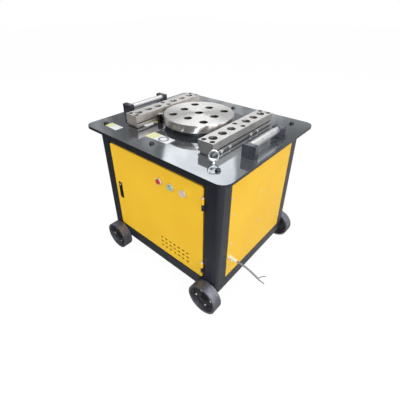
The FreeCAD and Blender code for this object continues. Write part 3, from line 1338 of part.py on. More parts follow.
# The flush lock: a pan let into the door, a lever that swings out and a button that frees it.
lock_low = f"({lock_level} - lock_height / 2)"
lock_face = f"({door_face} - lock_rim)"
block_left = f"({lock_x} - lock_width / 2 + lock_rim)"
block_across = "(lock_width - 2 * lock_rim)"
lock_plate = box("lock_plate", (f"{lock_x} - lock_width / 2", lock_face, lock_low),
                 ("lock_width", "lock_rim", "lock_height"))
lock_block = box("lock_block", (block_left, door_face, f"{lock_low} + lock_rim"),
                 (block_across, "lock_depth", "lock_height - 2 * lock_rim"))
lever_low = f"({lock_low} + lever_margin)"
lever_room = box("lever_room", (f"{lock_x} - lever_width / 2 - lever_side_gap", lock_face,
                                f"{lever_low} - lever_end_gap"),
                 ("lever_width + 2 * lever_side_gap", "lock_rim + lever_thickness + lever_back_room",
                  "lever_height + 2 * lever_end_gap"))
above_lever = "(lock_height - lever_height - lever_margin - lever_end_gap)"
lock_button_level = f"({lever_low} + lever_height + lever_end_gap + {above_lever} / 2)"
button_bore = rod("lock_button_bore", "lock_button_radius + running_clearance", "lock_rim + lock_button_room",
                  (lock_x, lock_face, lock_button_level), "Y")
pivot_y = f"({door_face} + lever_thickness / 2 - lever_stand_out)"
pivot_z = f"({lever_low} + lever_thickness / 2)"
pivot_pin = rod("lever_pivot_pin", "lever_pin_radius", block_across, (block_left, pivot_y, pivot_z), "X")
lock_pan = cut("lock_pan", fuse("lock_solid", lock_plate, lock_block), lever_room, button_bore)
node(fuse("lock_with_pin", lock_pan, pivot_pin), "lock_housing")
lever_bar = box("lever_bar", (f"{lock_x} - lever_width / 2", f"{pivot_y} - lever_thickness / 2", pivot_z),
                ("lever_width", "lever_thickness", "lever_height - lever_thickness / 2"))
lever_side = (f"{lock_x} - lever_width / 2", pivot_y, pivot_z)
lever_eye = rod("lever_eye", "lever_thickness / 2", "lever_width", lever_side, "X")
lever_bore = rod("lever_bore", "lever_pin_radius + running_clearance", "lever_width", lever_side, "X")
node(cut("lever", fuse("lever_solid", lever_bar, lever_eye), lever_bore), "lock_lever")
node(rod("lock_press", "lock_button_radius", "lock_rim + lock_button_body",
         (lock_x, f"{lock_face} - lock_button_travel", lock_button_level), "Y"), "lock_button")

document.recompute()

faults = []
for item in document.Objects:
    if "Invalid" in item.State or "Error" in item.State:
        faults.append(f"{item.Name} {item.State}")
labels = [item.Label for item in nodes]
for item in nodes:
    shape = item.Shape
    if shape.isNull() or not shape.isValid() or not shape.Solids:
        faults.append(f"{item.Label} has no sound shape")
if len(set(labels)) != len(labels):
    faults.append("two pieces share a label")
if faults:
    raise SystemExit("\n".join(faults))

os.makedirs("parts", exist_ok=True)
for item in nodes:
    item.Shape.exportStep(f"parts/{item.Label}.step")
    print(item.Label, len(item.Shape.Solids), "solids", round(item.Shape.Volume / 1000, 1), "cm3")
print(len(nodes), "nodes")
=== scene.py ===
import math

import bpy
from mathutils import Matrix, Vector


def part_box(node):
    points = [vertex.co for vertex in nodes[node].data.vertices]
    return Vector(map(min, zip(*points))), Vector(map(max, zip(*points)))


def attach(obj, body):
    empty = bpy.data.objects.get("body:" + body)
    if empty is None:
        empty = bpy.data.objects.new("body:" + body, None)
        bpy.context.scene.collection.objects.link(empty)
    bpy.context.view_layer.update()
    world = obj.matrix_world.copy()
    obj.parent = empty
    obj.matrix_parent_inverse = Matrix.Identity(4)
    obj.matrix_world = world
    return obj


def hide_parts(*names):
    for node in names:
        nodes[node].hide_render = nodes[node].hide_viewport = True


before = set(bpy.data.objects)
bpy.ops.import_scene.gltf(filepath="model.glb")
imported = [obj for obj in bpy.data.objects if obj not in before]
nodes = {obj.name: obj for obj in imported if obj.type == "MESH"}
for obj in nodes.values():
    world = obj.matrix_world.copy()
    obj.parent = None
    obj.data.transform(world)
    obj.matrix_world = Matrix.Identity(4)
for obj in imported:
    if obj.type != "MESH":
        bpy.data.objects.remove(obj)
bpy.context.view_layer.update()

bpy.ops.object.select_all(action="DESELECT")

# The view: a camera standing off the right front corner, a little above the table, as the
# photograph was taken. Its place and lens were solved from the table, disc and cabinet edges.
view_azimuth = math.radians(41.84)
view_elevation = math.radians(32.33)
view_roll = math.radians(-0.52)
view_distance = 1.46716
view_slide = (-0.03508, -0.27177)
focal_pixels = 292.1
picture_size = 400
optical_centre = (192.37, 178.34)
sensor_width = 36
table_top = 0.7575
table_centre = Vector((0, 0, table_top))

back_axis = Vector((math.sin(view_azimuth) * math.cos(view_elevation),
                    -math.cos(view_azimuth) * math.cos(view_elevation), math.sin(view_elevation)))
right_axis = Vector((math.cos(view_azimuth), math.sin(view_azimuth), 0))
up_axis = back_axis.cross(right_axis)
rolled_right = right_axis * math.cos(view_roll) + up_axis * math.sin(view_roll)
rolled_up = -right_axis * math.sin(view_roll) + up_axis * math.cos(view_roll)
camera_place = (table_centre + back_axis * view_distance
                + right_axis * view_slide[0] + up_axis * view_slide[1])
camera_turn = Matrix((rolled_right, rolled_up, back_axis)).transposed().to_4x4()
bpy.ops.object.camera_add()
camera = bpy.context.object
camera.name = "photo_camera"
camera.matrix_world = Matrix.Translation(camera_place) @ camera_turn
camera.data.sensor_width = sensor_width
camera.data.lens = focal_pixels / picture_size * sensor_width
camera.data.shift_x = (picture_size / 2 - optical_centre[0]) / picture_size
camera.data.shift_y = (optical_centre[1] - picture_size / 2) / picture_size
bpy.context.scene.camera = camera
bpy.context.scene.view_settings.view_transform = "Standard"


# The studio: a plain pale floor that the camera sees as white with the machine's soft shadow.
# Polished surfaces see a floor and walls that are bright behind on the right and dimmer in front.
def new_material(name):
    """A material with its tree, its shader and short ways to add and link nodes."""
    material = bpy.data.materials.new(name)
    material.use_nodes = True
    tree = material.node_tree

    def add(kind, **settings):
        node = tree.nodes.new("ShaderNode" + kind)
        for key, value in settings.items():
            if key in node.inputs:
                node.inputs[key].default_value = value
            else:
                setattr(node, key, value)
        return node

    return material, tree.nodes["Principled BSDF"], add, tree.links.new


def span(add, link, source, from_low, from_high, to_low=0.0, to_high=1.0, smooth=False):
    """Carry a value from one range to another, held at the ends."""
    node = add("MapRange", interpolation_type="SMOOTHSTEP" if smooth else "LINEAR")
    for socket, value in (("From Min", from_low), ("From Max", from_high),
                          ("To Min", to_low), ("To Max", to_high)):
        node.inputs[socket].default_value = value
    link(source, node.inputs["Value"])
    return node.outputs["Result"]


def math_of(add, link, operation, first, second):
    """One sum of two sources, either of which may be a plain number."""
    node = add("Math", operation=operation)
    for socket, source in zip(node.inputs, (first, second)):
        if isinstance(source, (int, float)):
            socket.default_value = source
        else:
            link(source, socket)
    return node.outputs[0]


def along(add, link, source, direction):
    """How far a place or direction lies along one heading."""
    node = add("VectorMath", operation="DOT_PRODUCT")
    link(source, node.inputs[0])
    node.inputs[1].default_value = direction
    return node.outputs["Value"]


bright_side = (0.8, 0.6, 0.0)
floor_size = 30
floor_drop = 0.0005
floor_tone = (0.9, 0.9, 0.9, 1)
seen_glow = 1.02
seen_share = 0.94
bpy.ops.mesh.primitive_plane_add(size=floor_size, location=(0, 0, -floor_drop))
floor = bpy.context.object
floor.name = "studio_floor"
floor_finish, floor_shader, add, link = new_material("studio_floor_finish")
floor_shader.inputs["Base Color"].default_value = floor_tone
floor_shader.inputs["Roughness"].default_value = 0.9
ray = add("LightPath")
seen = math_of(add, link, "MAXIMUM", ray.outputs["Is Camera Ray"],
               ray.outputs["Is Transmission Ray"])
mirrored = ray.outputs["Is Glossy Ray"]
place = add("TexCoord").outputs["Object"]
mirror_glow = span(add, link, along(add, link, place, bright_side), -1.0, 0.9, 0.10, 0.62, True)
glow_strength = math_of(add, link, "MAXIMUM", math_of(add, link, "MULTIPLY", mirrored, mirror_glow),
                        math_of(add, link, "MULTIPLY", seen, seen_glow))
glow = add("Emission", Color=(1, 1, 1, 1))
link(glow_strength, glow.inputs["Strength"])
glow_share = math_of(add, link, "MAXIMUM", math_of(add, link, "MULTIPLY", seen, seen_share),
                     mirrored)
blend = add("MixShader")
link(glow_share, blend.inputs[0])
link(floor_shader.outputs[0], blend.inputs[1])
link(glow.outputs[0], blend.inputs[2])
link(blend.outputs[0], floor_finish.node_tree.nodes["Material Output"].inputs["Surface"])
floor.data.materials.append(floor_finish)

world = bpy.data.worlds.new("studio_surround")
bpy.context.scene.world = world
world.use_nodes = True
surround = world.node_tree


def add_to_surround(kind, **settings):
    """Add one node to the surround and set it up."""
    node = surround.nodes.new("ShaderNode" + kind)
    for key, value in settings.items():
        setattr(node, key, value)
    return node


def sky_span(source, from_low, from_high, to_low, to_high, smooth=True):
    """Carry a value of the surround from one range to another."""
    return span(add_to_surround, surround.links.new, source, from_low, from_high, to_low, to_high,
                smooth)


def sky_sum(operation, first, second):
    """One sum of two values of the surround."""
    return math_of(add_to_surround, surround.links.new, operation, first, second)


link = surround.links.new
ray = add_to_surround("LightPath")
heading = add_to_surround("TexCoord").outputs["Generated"]
height = along(add_to_surround, link, heading, (0, 0, 1))
rightness = along(add_to_surround, link, heading, bright_side)
# Faint upright streaks on the walls, which also waver the edges of what is bright.
tall = add_to_surround("VectorMath", operation="MULTIPLY")
link(heading, tall.inputs[0])
tall.inputs[1].default_value = (13, 13, 3)
streaks = add_to_surround("TexNoise")
streaks.inputs["Scale"].default_value = 1.0
streaks.inputs["Detail"].default_value = 4.0
link(tall.outputs[0], streaks.inputs["Vector"])
waver = sky_span(streaks.outputs["Fac"], 0.3, 0.7, -0.02, 0.02, False)
rightness = sky_sum("ADD", rightness, waver)
wall_glow = sky_sum("MULTIPLY", sky_span(height, 0.42, 0.28, 0.0, 0.3),
                    sky_span(rightness, -0.35, -0.1, 0.0, 1.0))
wall_glow = sky_sum("ADD", wall_glow, sky_span(streaks.outputs["Fac"], 0.44, 0.66, 0.15, 0.46))
# A bright ceiling and one tall window, both dimmer straight overhead.
opening_glow = 1.35
ceiling = sky_sum("MULTIPLY", sky_span(height, 0.50, 0.66, 0.0, opening_glow),
                  sky_span(rightness, -0.75, -0.3, 0.0, 1.0))
overhead = sky_span(height, 0.72, 0.92, 1.0, 0.42)
ceiling = sky_sum("MULTIPLY", ceiling, overhead)
window = sky_span(height, 0.415, 0.44, 0.0, opening_glow)
window = sky_sum("MULTIPLY", window, sky_span(rightness, -0.178, -0.165, 0.0, 1.0))
window = sky_sum("MULTIPLY", window, sky_span(rightness, 0.09, 0.06, 0.0, 1.0))
window = sky_sum("MULTIPLY", window, overhead)
opening = sky_sum("MAXIMUM", ceiling, window)
# Three narrow doorways: their heading in degrees, the cosine of their half width, their power.
level_heading = add_to_surround("VectorMath", operation="MULTIPLY")
link(heading, level_heading.inputs[0])
level_heading.inputs[1].default_value = (1, 1, 0)
level_unit = add_to_surround("VectorMath", operation="NORMALIZE")
link(level_heading.outputs[0], level_unit.inputs[0])
for doorway, width, power in ((28, 0.955, 2.6), (-12, 0.97, 1.3), (-52, 0.983, 5.5)):
    towards = (math.cos(math.radians(doorway)), math.sin(math.radians(doorway)), 0)
    glow = sky_span(along(add_to_surround, link, level_unit.outputs[0], towards),
                    width, 0.994, 0.0, power)
    glow = sky_sum("MULTIPLY", glow, sky_span(height, 0.0, 0.12, 0.0, 1.0))
    opening = sky_sum("MAXIMUM", opening, glow)
wall_glow = sky_sum("ADD", wall_glow, opening)
seen = sky_sum("MAXIMUM", ray.outputs["Is Camera Ray"], ray.outputs["Is Transmission Ray"])
lit = sky_span(seen, 0.0, 1.0, 0.55, 1.0, False)
strength = add_to_surround("Mix")
link(ray.outputs["Is Glossy Ray"], strength.inputs["Factor"])
link(lit, strength.inputs["A"])
link(wall_glow, strength.inputs["B"])
background = surround.nodes["Background"]
background.inputs["Color"].default_value = (1, 1, 1, 1)
link(strength.outputs["Result"], background.inputs["Strength"])
# Soft lamps: their name, place, the point they face, the size of their square and their power.
for lamp_name, lamp_place, aim, across, watts in (
        ("front_left_lamp", (-2.2, -3.0, 2.6), (0, 0, 0.5), 2.0, 64),
        ("right_lamp", (3.4, -0.6, 2.4), (0.2, 0, 0.5), 1.8, 59),
        ("top_lamp", (0.2, 0.6, 3.4), (0, 0, 0.7), 3.8, 50)):
    bpy.ops.object.light_add(type="AREA", location=lamp_place)
    lamp = bpy.context.object
    lamp.name = lamp_name
    lamp.data.size = across
    lamp.data.energy = watts
    lamp.visible_glossy = lamp_name != "front_left_lamp"
    lamp.rotation_euler = (Vector(aim) - Vector(lamp_place)).to_track_quat("-Z", "Y").to_euler()


# The cabinet's frame: four folded sheet posts with a large outer radius, and rectangular tube
# rails welded between them. All of it is sprayed in one semi-gloss charcoal paint.
def cloud(add, link, scale, low=0.0, high=1.0, detail=4, source=None):
    """A noise on the piece's own coordinates, carried to a range."""
    texture = add("TexNoise", Scale=scale, Detail=detail)
    link(add("TexCoord").outputs["Object"] if source is None else source, texture.inputs["Vector"])
    return span(add, link, texture.outputs["Fac"], 0.25, 0.75, low, high)


def two_colours(add, link, factor, first, second):
    """Pass from one colour to another by a factor; a colour may come from a node."""
    mix = add("Mix", data_type="RGBA")
    for socket, colour in ((mix.inputs[6], first), (mix.inputs[7], second)):
        if isinstance(colour, tuple):
            socket.default_value = (*colour, 1)
        else:
            link(colour, socket)
    link(factor, mix.inputs[0])
    return mix.outputs[2]


def worn_edges(add, link, reach, scale):
    """A mask of sharp edges, broken up where handling has rubbed them."""
    rounded = add("Bevel", samples=4, Radius=reach)
    flat = add("NewGeometry")
    likeness = add("VectorMath", operation="DOT_PRODUCT")
    link(rounded.outputs[0], likeness.inputs[0])
    link(flat.outputs["Normal"], likeness.inputs[1])
    edge = span(add, link, likeness.outputs["Value"], 0.97, 0.80, 0.0, 1.0)
    return math_of(add, link, "MULTIPLY", edge, cloud(add, link, scale, -0.4, 1.0, 5))


def dimple(add, link, shader, height, strength, distance):
    """Turn a height into a fine relief on the shader."""
    relief = add("Bump", Strength=strength, Distance=distance)
    link(height, relief.inputs["Height"])
    link(relief.outputs[0], shader.inputs["Normal"])


def sprayed_paint(name, dark, light, rubbed_and_highlit_edge, roughness, gloss):
    """Sprayed enamel: slow drift of tone, orange-peel skin, a little dust and a lighter edge tone,
    which is rubbed wear on the charcoal and a painted edge highlight on the yellow.
    """
    material, shader, add, link = new_material(name)
    tone = two_colours(add, link, cloud(add, link, 4.0), dark, light)
    dust = cloud(add, link, 55.0, -1.2, 0.35, 6)
    tone = two_colours(add, link, dust, tone, tuple(0.6 * value + 0.05 for value in light))
    tone = two_colours(add, link, worn_edges(add, link, 0.0012, 90.0), tone, rubbed_and_highlit_edge)
    link(tone, shader.inputs["Base Color"])
    link(cloud(add, link, 24.0, roughness * 0.8, roughness * 1.25), shader.inputs["Roughness"])
    dimple(add, link, shader, cloud(add, link, 700.0, 0.0, 1.0, 2), 0.12, 0.0003)
    shader.inputs["Specular IOR Level"].default_value = gloss
    return material


def dress(material, *names):
    """Give one material to whole nodes."""
    for name in names:
        piece = nodes[name]
        piece.data.materials.clear()
        piece.data.materials.append(material)


def soften_edges(name, width, segments=2):
    """Round a node's sharp edges a little, as real edges are."""
    piece = nodes[name]
    weld = piece.modifiers.new("weld", "WELD")
    weld.merge_threshold = 0.00002
    flatten = piece.modifiers.new("flatten", "DECIMATE")
    flatten.decimate_type = "DISSOLVE"
    flatten.angle_limit = math.radians(1)
    bevel = piece.modifiers.new("bevel", "BEVEL")
    bevel.width = width
    bevel.segments = segments
    bevel.limit_method = "ANGLE"
    bevel.angle_limit = math.radians(40)
    bevel.harden_normals = True


charcoal_paint = sprayed_paint("charcoal_paint", dark=(0.012, 0.013, 0.020),
                               light=(0.017, 0.020, 0.031), rubbed_and_highlit_edge=(0.10, 0.10, 0.11),
                               roughness=0.34, gloss=0.44)
dress(charcoal_paint, "corner_posts", "top_rails", "bottom_rails", "panel_lips", "base_pan")
for name in ("corner_posts", "top_rails", "bottom_rails"):
    soften_edges(name, width=0.0012)

# The left, right and back panels: flat 2 mm sheet steel in a strong yellow enamel, set between
# the posts and rails and screwed to the strips behind them.
# painted highlight: the yellow's lighter edge tone stands in for the light along folded edges; on
# the charcoal the edge tone is rubbed wear
yellow_paint = sprayed_paint("yellow_paint", dark=(0.85, 0.49, 0.012), light=(0.90, 0.55, 0.018),
                             rubbed_and_highlit_edge=(0.95, 0.70, 0.16), roughness=0.36, gloss=0.3)
dress(yellow_paint, "left_side_panel", "right_side_panel", "back_panel")


# The panel screws: low round heads with bright zinc plate, two to four along each upright edge
# of a panel, and four in the right panel that carry the control gear behind it.
def plated(name, dark, light, roughness, scale=150.0):
    """Plated steel: small tone changes and fine pits that dull the shine."""
    material, shader, add, link = new_material(name)
    link(two_colours(add, link, cloud(add, link, scale), dark, light), shader.inputs["Base Color"])
    link(cloud(add, link, scale * 1.7, roughness * 0.7, roughness * 1.4),
         shader.inputs["Roughness"])
    shader.inputs["Metallic"].default_value = 1.0
    dimple(add, link, shader, cloud(add, link, scale * 4, 0.0, 1.0, 3), 0.08, 0.0002)
    return material


bright_zinc = plated("bright_zinc", (0.74, 0.74, 0.73), (0.90, 0.90, 0.89), roughness=0.2)
bright_zinc.node_tree.nodes["Principled BSDF"].inputs["Metallic"].default_value = 0.55
dress(bright_zinc, "panel_screws")

# The table: one 14 mm steel plate, ground and polished on top so that it mirrors what stands on
# it, with rounded corners and dark flame-cut edges. It is darker in a ring round the disc, and
# left of the disc beside the left bar it carries a painted dark reflection.
polished_plate, shader, add, link = new_material("polished_plate")
place = add("TexCoord")
drawn = add("Mapping")
drawn.inputs["Scale"].default_value = (1, 22, 1)
link(place.outputs["Object"], drawn.inputs["Vector"])
marks = cloud(add, link, 22.0, 0.0, 1.0, 6, drawn.outputs[0])
stains = cloud(add, link, 6.0, 0.0, 1.0, 5)
top_tone = two_colours(add, link, stains, (0.36, 0.39, 0.42), (0.54, 0.57, 0.61))
top_tone = two_colours(add, link, math_of(add, link, "MULTIPLY", marks, 0.3), top_tone,
                       (0.33, 0.355, 0.37))
facing_up = span(add, link, along(add, link, place.outputs["Normal"], (0, 0, 1)), 0.4, 0.8)
flat_place = add("VectorMath", operation="MULTIPLY")
link(place.outputs["Object"], flat_place.inputs[0])
flat_place.inputs[1].default_value = (1, 1, 0)
from_disc = add("VectorMath", operation="LENGTH")
link(flat_place.outputs[0], from_disc.inputs[0])
ring_and_reflection_tone = (0.10, 0.11, 0.135)
cut_edge_tone = (0.07, 0.075, 0.085)
# darker in a ring round the disc
dark_ring_and_painted_reflection = span(add, link, from_disc.outputs["Value"], 0.266, 0.254, 0.0, 0.6, True)
parts = add("SeparateXYZ")
link(place.outputs["Object"], parts.inputs[0])
# painted dark reflection: left of the disc and beside the left bar the top is darkened to stand in
# for the dark surroundings it mirrors there
left_of_disc = span(add, link, parts.outputs[0], -0.10, -0.14, 0.0, 0.72, True)
near_disc = span(add, link, from_disc.outputs["Value"], 0.40, 0.33, 0.0, 1.0, True)
painted_dark_reflection = math_of(add, link, "MULTIPLY", left_of_disc, near_disc)
dark_ring_and_painted_reflection = math_of(add, link, "MAXIMUM", dark_ring_and_painted_reflection, painted_dark_reflection)
top_tone = two_colours(add, link, dark_ring_and_painted_reflection, top_tone, ring_and_reflection_tone)
link(two_colours(add, link, facing_up, cut_edge_tone, top_tone), shader.inputs["Base Color"])
polish = math_of(add, link, "ADD", span(add, link, stains, 0.0, 1.0, 0.02, 0.10),
                 span(add, link, facing_up, 0.0, 1.0, 0.3, 0.0))
link(polish, shader.inputs["Roughness"])
shader.inputs["Metallic"].default_value = 0.88
dimple(add, link, shader, marks, 0.05, 0.0002)
dress(polished_plate, "table_plate")
soften_edges("table_plate", width=0.0015, segments=3)


# Three blank adhesive labels on the table, of printed film 0.3 mm thick: two wide ones along the
# front and a narrow one beside the left bar, each part yellow and part white.
def only_selected(piece):
    """Select one piece alone and make it the one that operators act on."""
    bpy.ops.object.select_all(action="DESELECT")
    piece.select_set(True)
    bpy.context.view_layer.objects.active = piece


def settle(piece, name, material, body):
    """Name a finished piece, put its place in its mesh, dress it and fix it to a body."""
    only_selected(piece)
    bpy.ops.object.transform_apply(location=True, rotation=True, scale=True)
    piece.name = name
    piece.data.materials.clear()
    piece.data.materials.append(material)
    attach(piece, body)
    return piece


def printed_film(name, yellow_from, yellow_to, ring, paper_tone):
    """Film whose yellow part lies between two shares of its length, with an optional ring drawn."""
    material, shader, add, link = new_material(name)
    parts = add("SeparateXYZ")
    link(add("TexCoord").outputs["UV"], parts.inputs[0])
    blur = 0.004
    yellow_tone = (0.66, 0.66, 0.36)
    ink_tone = (0.16, 0.165, 0.19)
    edge_shadow_tone = (0.45, 0.46, 0.48)
    near = span(add, link, parts.outputs[0], yellow_from - blur, yellow_from + blur)
    far = span(add, link, parts.outputs[0], yellow_to + blur, yellow_to - blur)
    band = math_of(add, link, "MULTIPLY", near, far)
    soiled_tone = tuple(0.9 * value for value in paper_tone)
    paper = two_colours(add, link, cloud(add, link, 40.0), soiled_tone, paper_tone)
    tone = two_colours(add, link, band, paper, yellow_tone)
    if ring:
        ring_radius = 0.38
        long_side = (2.5, 1.0, 0)
        to_ring_centre = (-1.62, -0.5, 0)
        centred = add("VectorMath", operation="MULTIPLY_ADD")
        link(add("TexCoord").outputs["UV"], centred.inputs[0])
        centred.inputs[1].default_value = long_side
        centred.inputs[2].default_value = to_ring_centre
        reach = add("VectorMath", operation="LENGTH")
        link(centred.outputs[0], reach.inputs[0])
        off_line = math_of(add, link, "SUBTRACT", reach.outputs["Value"], ring_radius)
        off_line = math_of(add, link, "ABSOLUTE", off_line, 0)
        tone = two_colours(add, link, span(add, link, off_line, 0.085, 0.055), tone, ink_tone)
    # painted shadow: a darker rim round each label's edge stands in for the shadow along it
    from_middle = [math_of(add, link, "ABSOLUTE", math_of(add, link, "SUBTRACT", part, 0.5), 0)
                   for part in parts.outputs[:2]]
    painted_edge_shadow = span(add, link, math_of(add, link, "MAXIMUM", *from_middle), 0.462, 0.475, 0.0, 0.6)
    link(two_colours(add, link, painted_edge_shadow, tone, edge_shadow_tone), shader.inputs["Base Color"])
    link(cloud(add, link, 120.0, 0.25, 0.4), shader.inputs["Roughness"])
    dimple(add, link, shader, cloud(add, link, 60.0, 0.0, 1.0, 3), 0.1, 0.0002)
    return material


def table_label(name, corners, film):
    """A label from its corners in mm on the table: start low, end low, start high, end high."""
    lift = 0.0001
    thickness = 0.0003
    corner_radius = 0.004
    bpy.ops.mesh.primitive_plane_add(size=1)
    label = bpy.context.object
    for vertex, (x, y) in zip(label.data.vertices, corners):
        vertex.co = (x / 1000, y / 1000, table_top + lift)
    bpy.ops.object.mode_set(mode="EDIT")
    bpy.ops.mesh.select_all(action="SELECT")
    bpy.ops.mesh.bevel(affect="VERTICES", offset=corner_radius, segments=4)
    bpy.ops.object.mode_set(mode="OBJECT")
    film_body = label.modifiers.new("film", "SOLIDIFY")
    film_body.thickness = thickness
    film_body.offset = 1
    bpy.ops.object.modifier_apply(modifier="film")
    settle(label, name, film, "frame")


plain_paper = (0.74, 0.75, 0.77)
paper_lit_against_shadow = (0.90, 0.91, 0.93)
table_label("corner_label",
            [(-351.5, -314.4), (-253.1, -321.9), (-347.5, -272.1), (-254.1, -273.7)],
            printed_film("corner_label_film", 0.0, 0.42, False, plain_paper))
table_label("front_label",
            [(-98.5, -271.0), (46.0, -266.0), (-98.0, -211.5), (44.5, -213.0)],
            printed_film("front_label_film", 0.0, 0.39, True, plain_paper))
# painted light: the side label's paper is made lighter than the other labels' to lift it out of the
# left bar's shadow
table_label("side_label",
            [(-176.0, -194.5), (-176.0, -99.0), (-200.8, -193.0), (-200.8, -97.0)],
            printed_film("side_label_film", 0.6, 1.0, False, paper_lit_against_shadow))

# The table's six hexagon bolts: steel with a flange under the head, blackened, screwed through
# the plate into the rails of the frame. The part's other small dark screws have the same finish.
black_oxide = plated("black_oxide", (0.035, 0.036, 0.040), (0.09, 0.09, 0.10), roughness=0.34)
dress(black_oxide, "table_bolts")


# The lifting eye: one steel drop forging, zinc plated. Its ring swells toward the foot and runs
# into a collar that rests on the table, and a screwed shank goes down into the plate.
def pick_end(piece, outward):
    """Select the flat end of a piece for editing: 1 for the upper end, -1 for the lower."""
    bpy.ops.object.mode_set(mode="EDIT")
    bpy.ops.mesh.select_all(action="DESELECT")
    bpy.ops.object.mode_set(mode="OBJECT")
    for face in piece.data.polygons:
        face.select = face.normal.z * outward > 0.9
    bpy.ops.object.mode_set(mode="EDIT")
    bpy.ops.mesh.select_mode(type="FACE")


forged_zinc = plated("forged_zinc", (0.42, 0.43, 0.45), (0.62, 0.63, 0.65), roughness=0.24,
                     scale=60.0)
eye_hole = 0.0152
wire_at_top = 0.0038
wire_at_foot = 0.0070
eye_turn = math.radians(40)
collar_radius = 0.010
collar_height = 0.005
collar_taper = 0.8
neck_radius = 0.007
neck_height = 0.0105
shank_radius = 0.006
shank_length = 0.014
low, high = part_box("eye_bolt")
eye_centre = Vector(((low[0] + high[0]) / 2, (low[1] + high[1]) / 2,
                     high[2] - eye_hole - 2 * wire_at_top))
bpy.ops.mesh.primitive_cylinder_add(
    vertices=48, radius=collar_radius, depth=collar_height,
    location=(eye_centre.x, eye_centre.y, table_top + collar_height / 2))
collar = bpy.context.object
for outward, taper, step, rise in (
        (1, collar_taper, collar_radius * collar_taper - neck_radius, neck_height),
        (-1, 1.0, collar_radius - shank_radius, -shank_length)):
    pick_end(collar, outward)
    bpy.ops.transform.resize(value=(taper, taper, 1))
    bpy.ops.mesh.inset(thickness=step)
    bpy.ops.mesh.extrude_region_move(TRANSFORM_OT_translate={"value": (0, 0, rise)})
    bpy.ops.object.mode_set(mode="OBJECT")
bpy.ops.mesh.primitive_torus_add(major_segments=72, minor_segments=24,
                                 major_radius=eye_hole + wire_at_top, minor_radius=wire_at_top)
eye = bpy.context.object
for vertex in eye.data.vertices:
    x, y, z = vertex.co
    reach = math.hypot(x, y)
    swell = (0.5 - 0.5 * y / reach) ** 3
    wire = wire_at_top + (wire_at_foot - wire_at_top) * swell
    stretch = (eye_hole + (reach - eye_hole) * wire / wire_at_top) / reach
    vertex.co = (x * stretch, y * stretch, z * wire / wire_at_top)
eye.data.transform(Matrix.Translation(eye_centre) @ Matrix.Rotation(eye_turn, 4, "Z")
                   @ Matrix.Rotation(math.radians(90), 4, "X"))
collar.select_set(True)
bpy.ops.object.join()
blended = eye.modifiers.new("blended", "REMESH")
blended.mode = "VOXEL"
blended.voxel_size = 0.0007
eased = eye.modifiers.new("eased", "SMOOTH")
eased.factor = 0.5
eased.iterations = 5
bpy.ops.object.modifier_apply(modifier="blended")
bpy.ops.object.modifier_apply(modifier="eased")
bpy.ops.object.shade_smooth()
settle(eye, "forged_lifting_eye", forged_zinc, "frame")
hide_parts("eye_bolt")


# The two socket bars: thick bars of steel, surface ground on top, milled down the sides and
# screwed to the table. Their sides keep a thin brown oil film, and their flank tones also carry
# painted light: the left bar's sides are painted lighter and browner, the right bar's darker and
# greyer.
def painted_recess_shade(add, link, reach, depth):
    """A mask of the insides of bores and grooves, where they are darkened as painted shade."""
    shelter = add("AmbientOcclusion", samples=6, only_local=True, Distance=reach)
    return span(add, link, shelter.outputs["AO"], 0.85, 0.5, 0.0, depth)


def ground_steel(name, top_dark, top_light, side, grain, roughness, scale=14.0):
    """Ground steel with marks drawn along one axis, duller and browner on its sides."""
    material, shader, add, link = new_material(name)
    place = add("TexCoord")
    drawn = add("Mapping")
    drawn.inputs["Scale"].default_value = grain
    link(place.outputs["Object"], drawn.inputs["Vector"])
    marks = cloud(add, link, scale, 0.0, 1.0, 7, drawn.outputs[0])
    smears = cloud(add, link, 9.0, 0.0, 1.0, 5)
    top = two_colours(add, link, marks, top_dark, top_light)
    top = two_colours(add, link, math_of(add, link, "MULTIPLY", smears, 0.35), top, top_dark)
    flank = two_colours(add, link, marks, tuple(value * 0.8 for value in side), side)
    upright = add("VectorMath", operation="ABSOLUTE")
    link(place.outputs["Normal"], upright.inputs[0])
    facing_up = span(add, link, along(add, link, upright.outputs[0], (0, 0, 1)), 0.4, 0.8)
    tone = two_colours(add, link, facing_up, flank, top)
    tone = two_colours(add, link, worn_edges(add, link, 0.0012, 60.0), tone, (0.86, 0.85, 0.84))
    # painted shade: the insides of bores and grooves are darkened by ambient occlusion
    link(two_colours(add, link, painted_recess_shade(add, link, 0.04, 0.9), tone, (0.06, 0.055, 0.05)),
         shader.inputs["Base Color"])
    dull = span(add, link, facing_up, 0.0, 1.0, 0.12, 0.0)
    link(math_of(add, link, "ADD", cloud(add, link, 30.0, roughness * 0.8, roughness * 1.25), dull),
         shader.inputs["Roughness"])
    shader.inputs["Metallic"].default_value = 1.0
    dimple(add, link, shader, marks, 0.06, 0.0002)
    return material


# painted light and shade: the bars are one steel, with the left bar's flanks lighter and browner
# and the right bar's darker and greyer for the light each gets
for name, flank in (("left_socket_bar", (0.68, 0.62, 0.57)),
                    ("right_socket_bar", (0.43, 0.42, 0.41))):
    dress(ground_steel(name + "_steel", top_dark=(0.56, 0.555, 0.55), top_light=(0.70, 0.695, 0.69),
                       side=flank, grain=(16, 1, 16), roughness=0.44), name)
    soften_edges(name, width=0.0014)

# The bars' screws: blackened socket-head screws sunk in counterbores hold them on the table, and
# small zinc plated clamping screws with a hexagon cap stand along their foot.
dress(black_oxide, "socket_bar_screws")
dress(bright_zinc, "bar_clamp_screws")

# The roller blocks: milled steel blocks, blued nearly black, two at each end of the table, each
# held by two socket screws. They carry the ends of the roller shafts.
blued_steel = plated("blued_steel", (0.15, 0.158, 0.185), (0.24, 0.25, 0.285), roughness=0.34,
                     scale=45.0)
dress(blued_steel, "left_roller_blocks", "right_roller_blocks")
for name in ("left_roller_blocks", "right_roller_blocks"):
    soften_edges(name, width=0.001)
dress(black_oxide, "roller_block_screws")

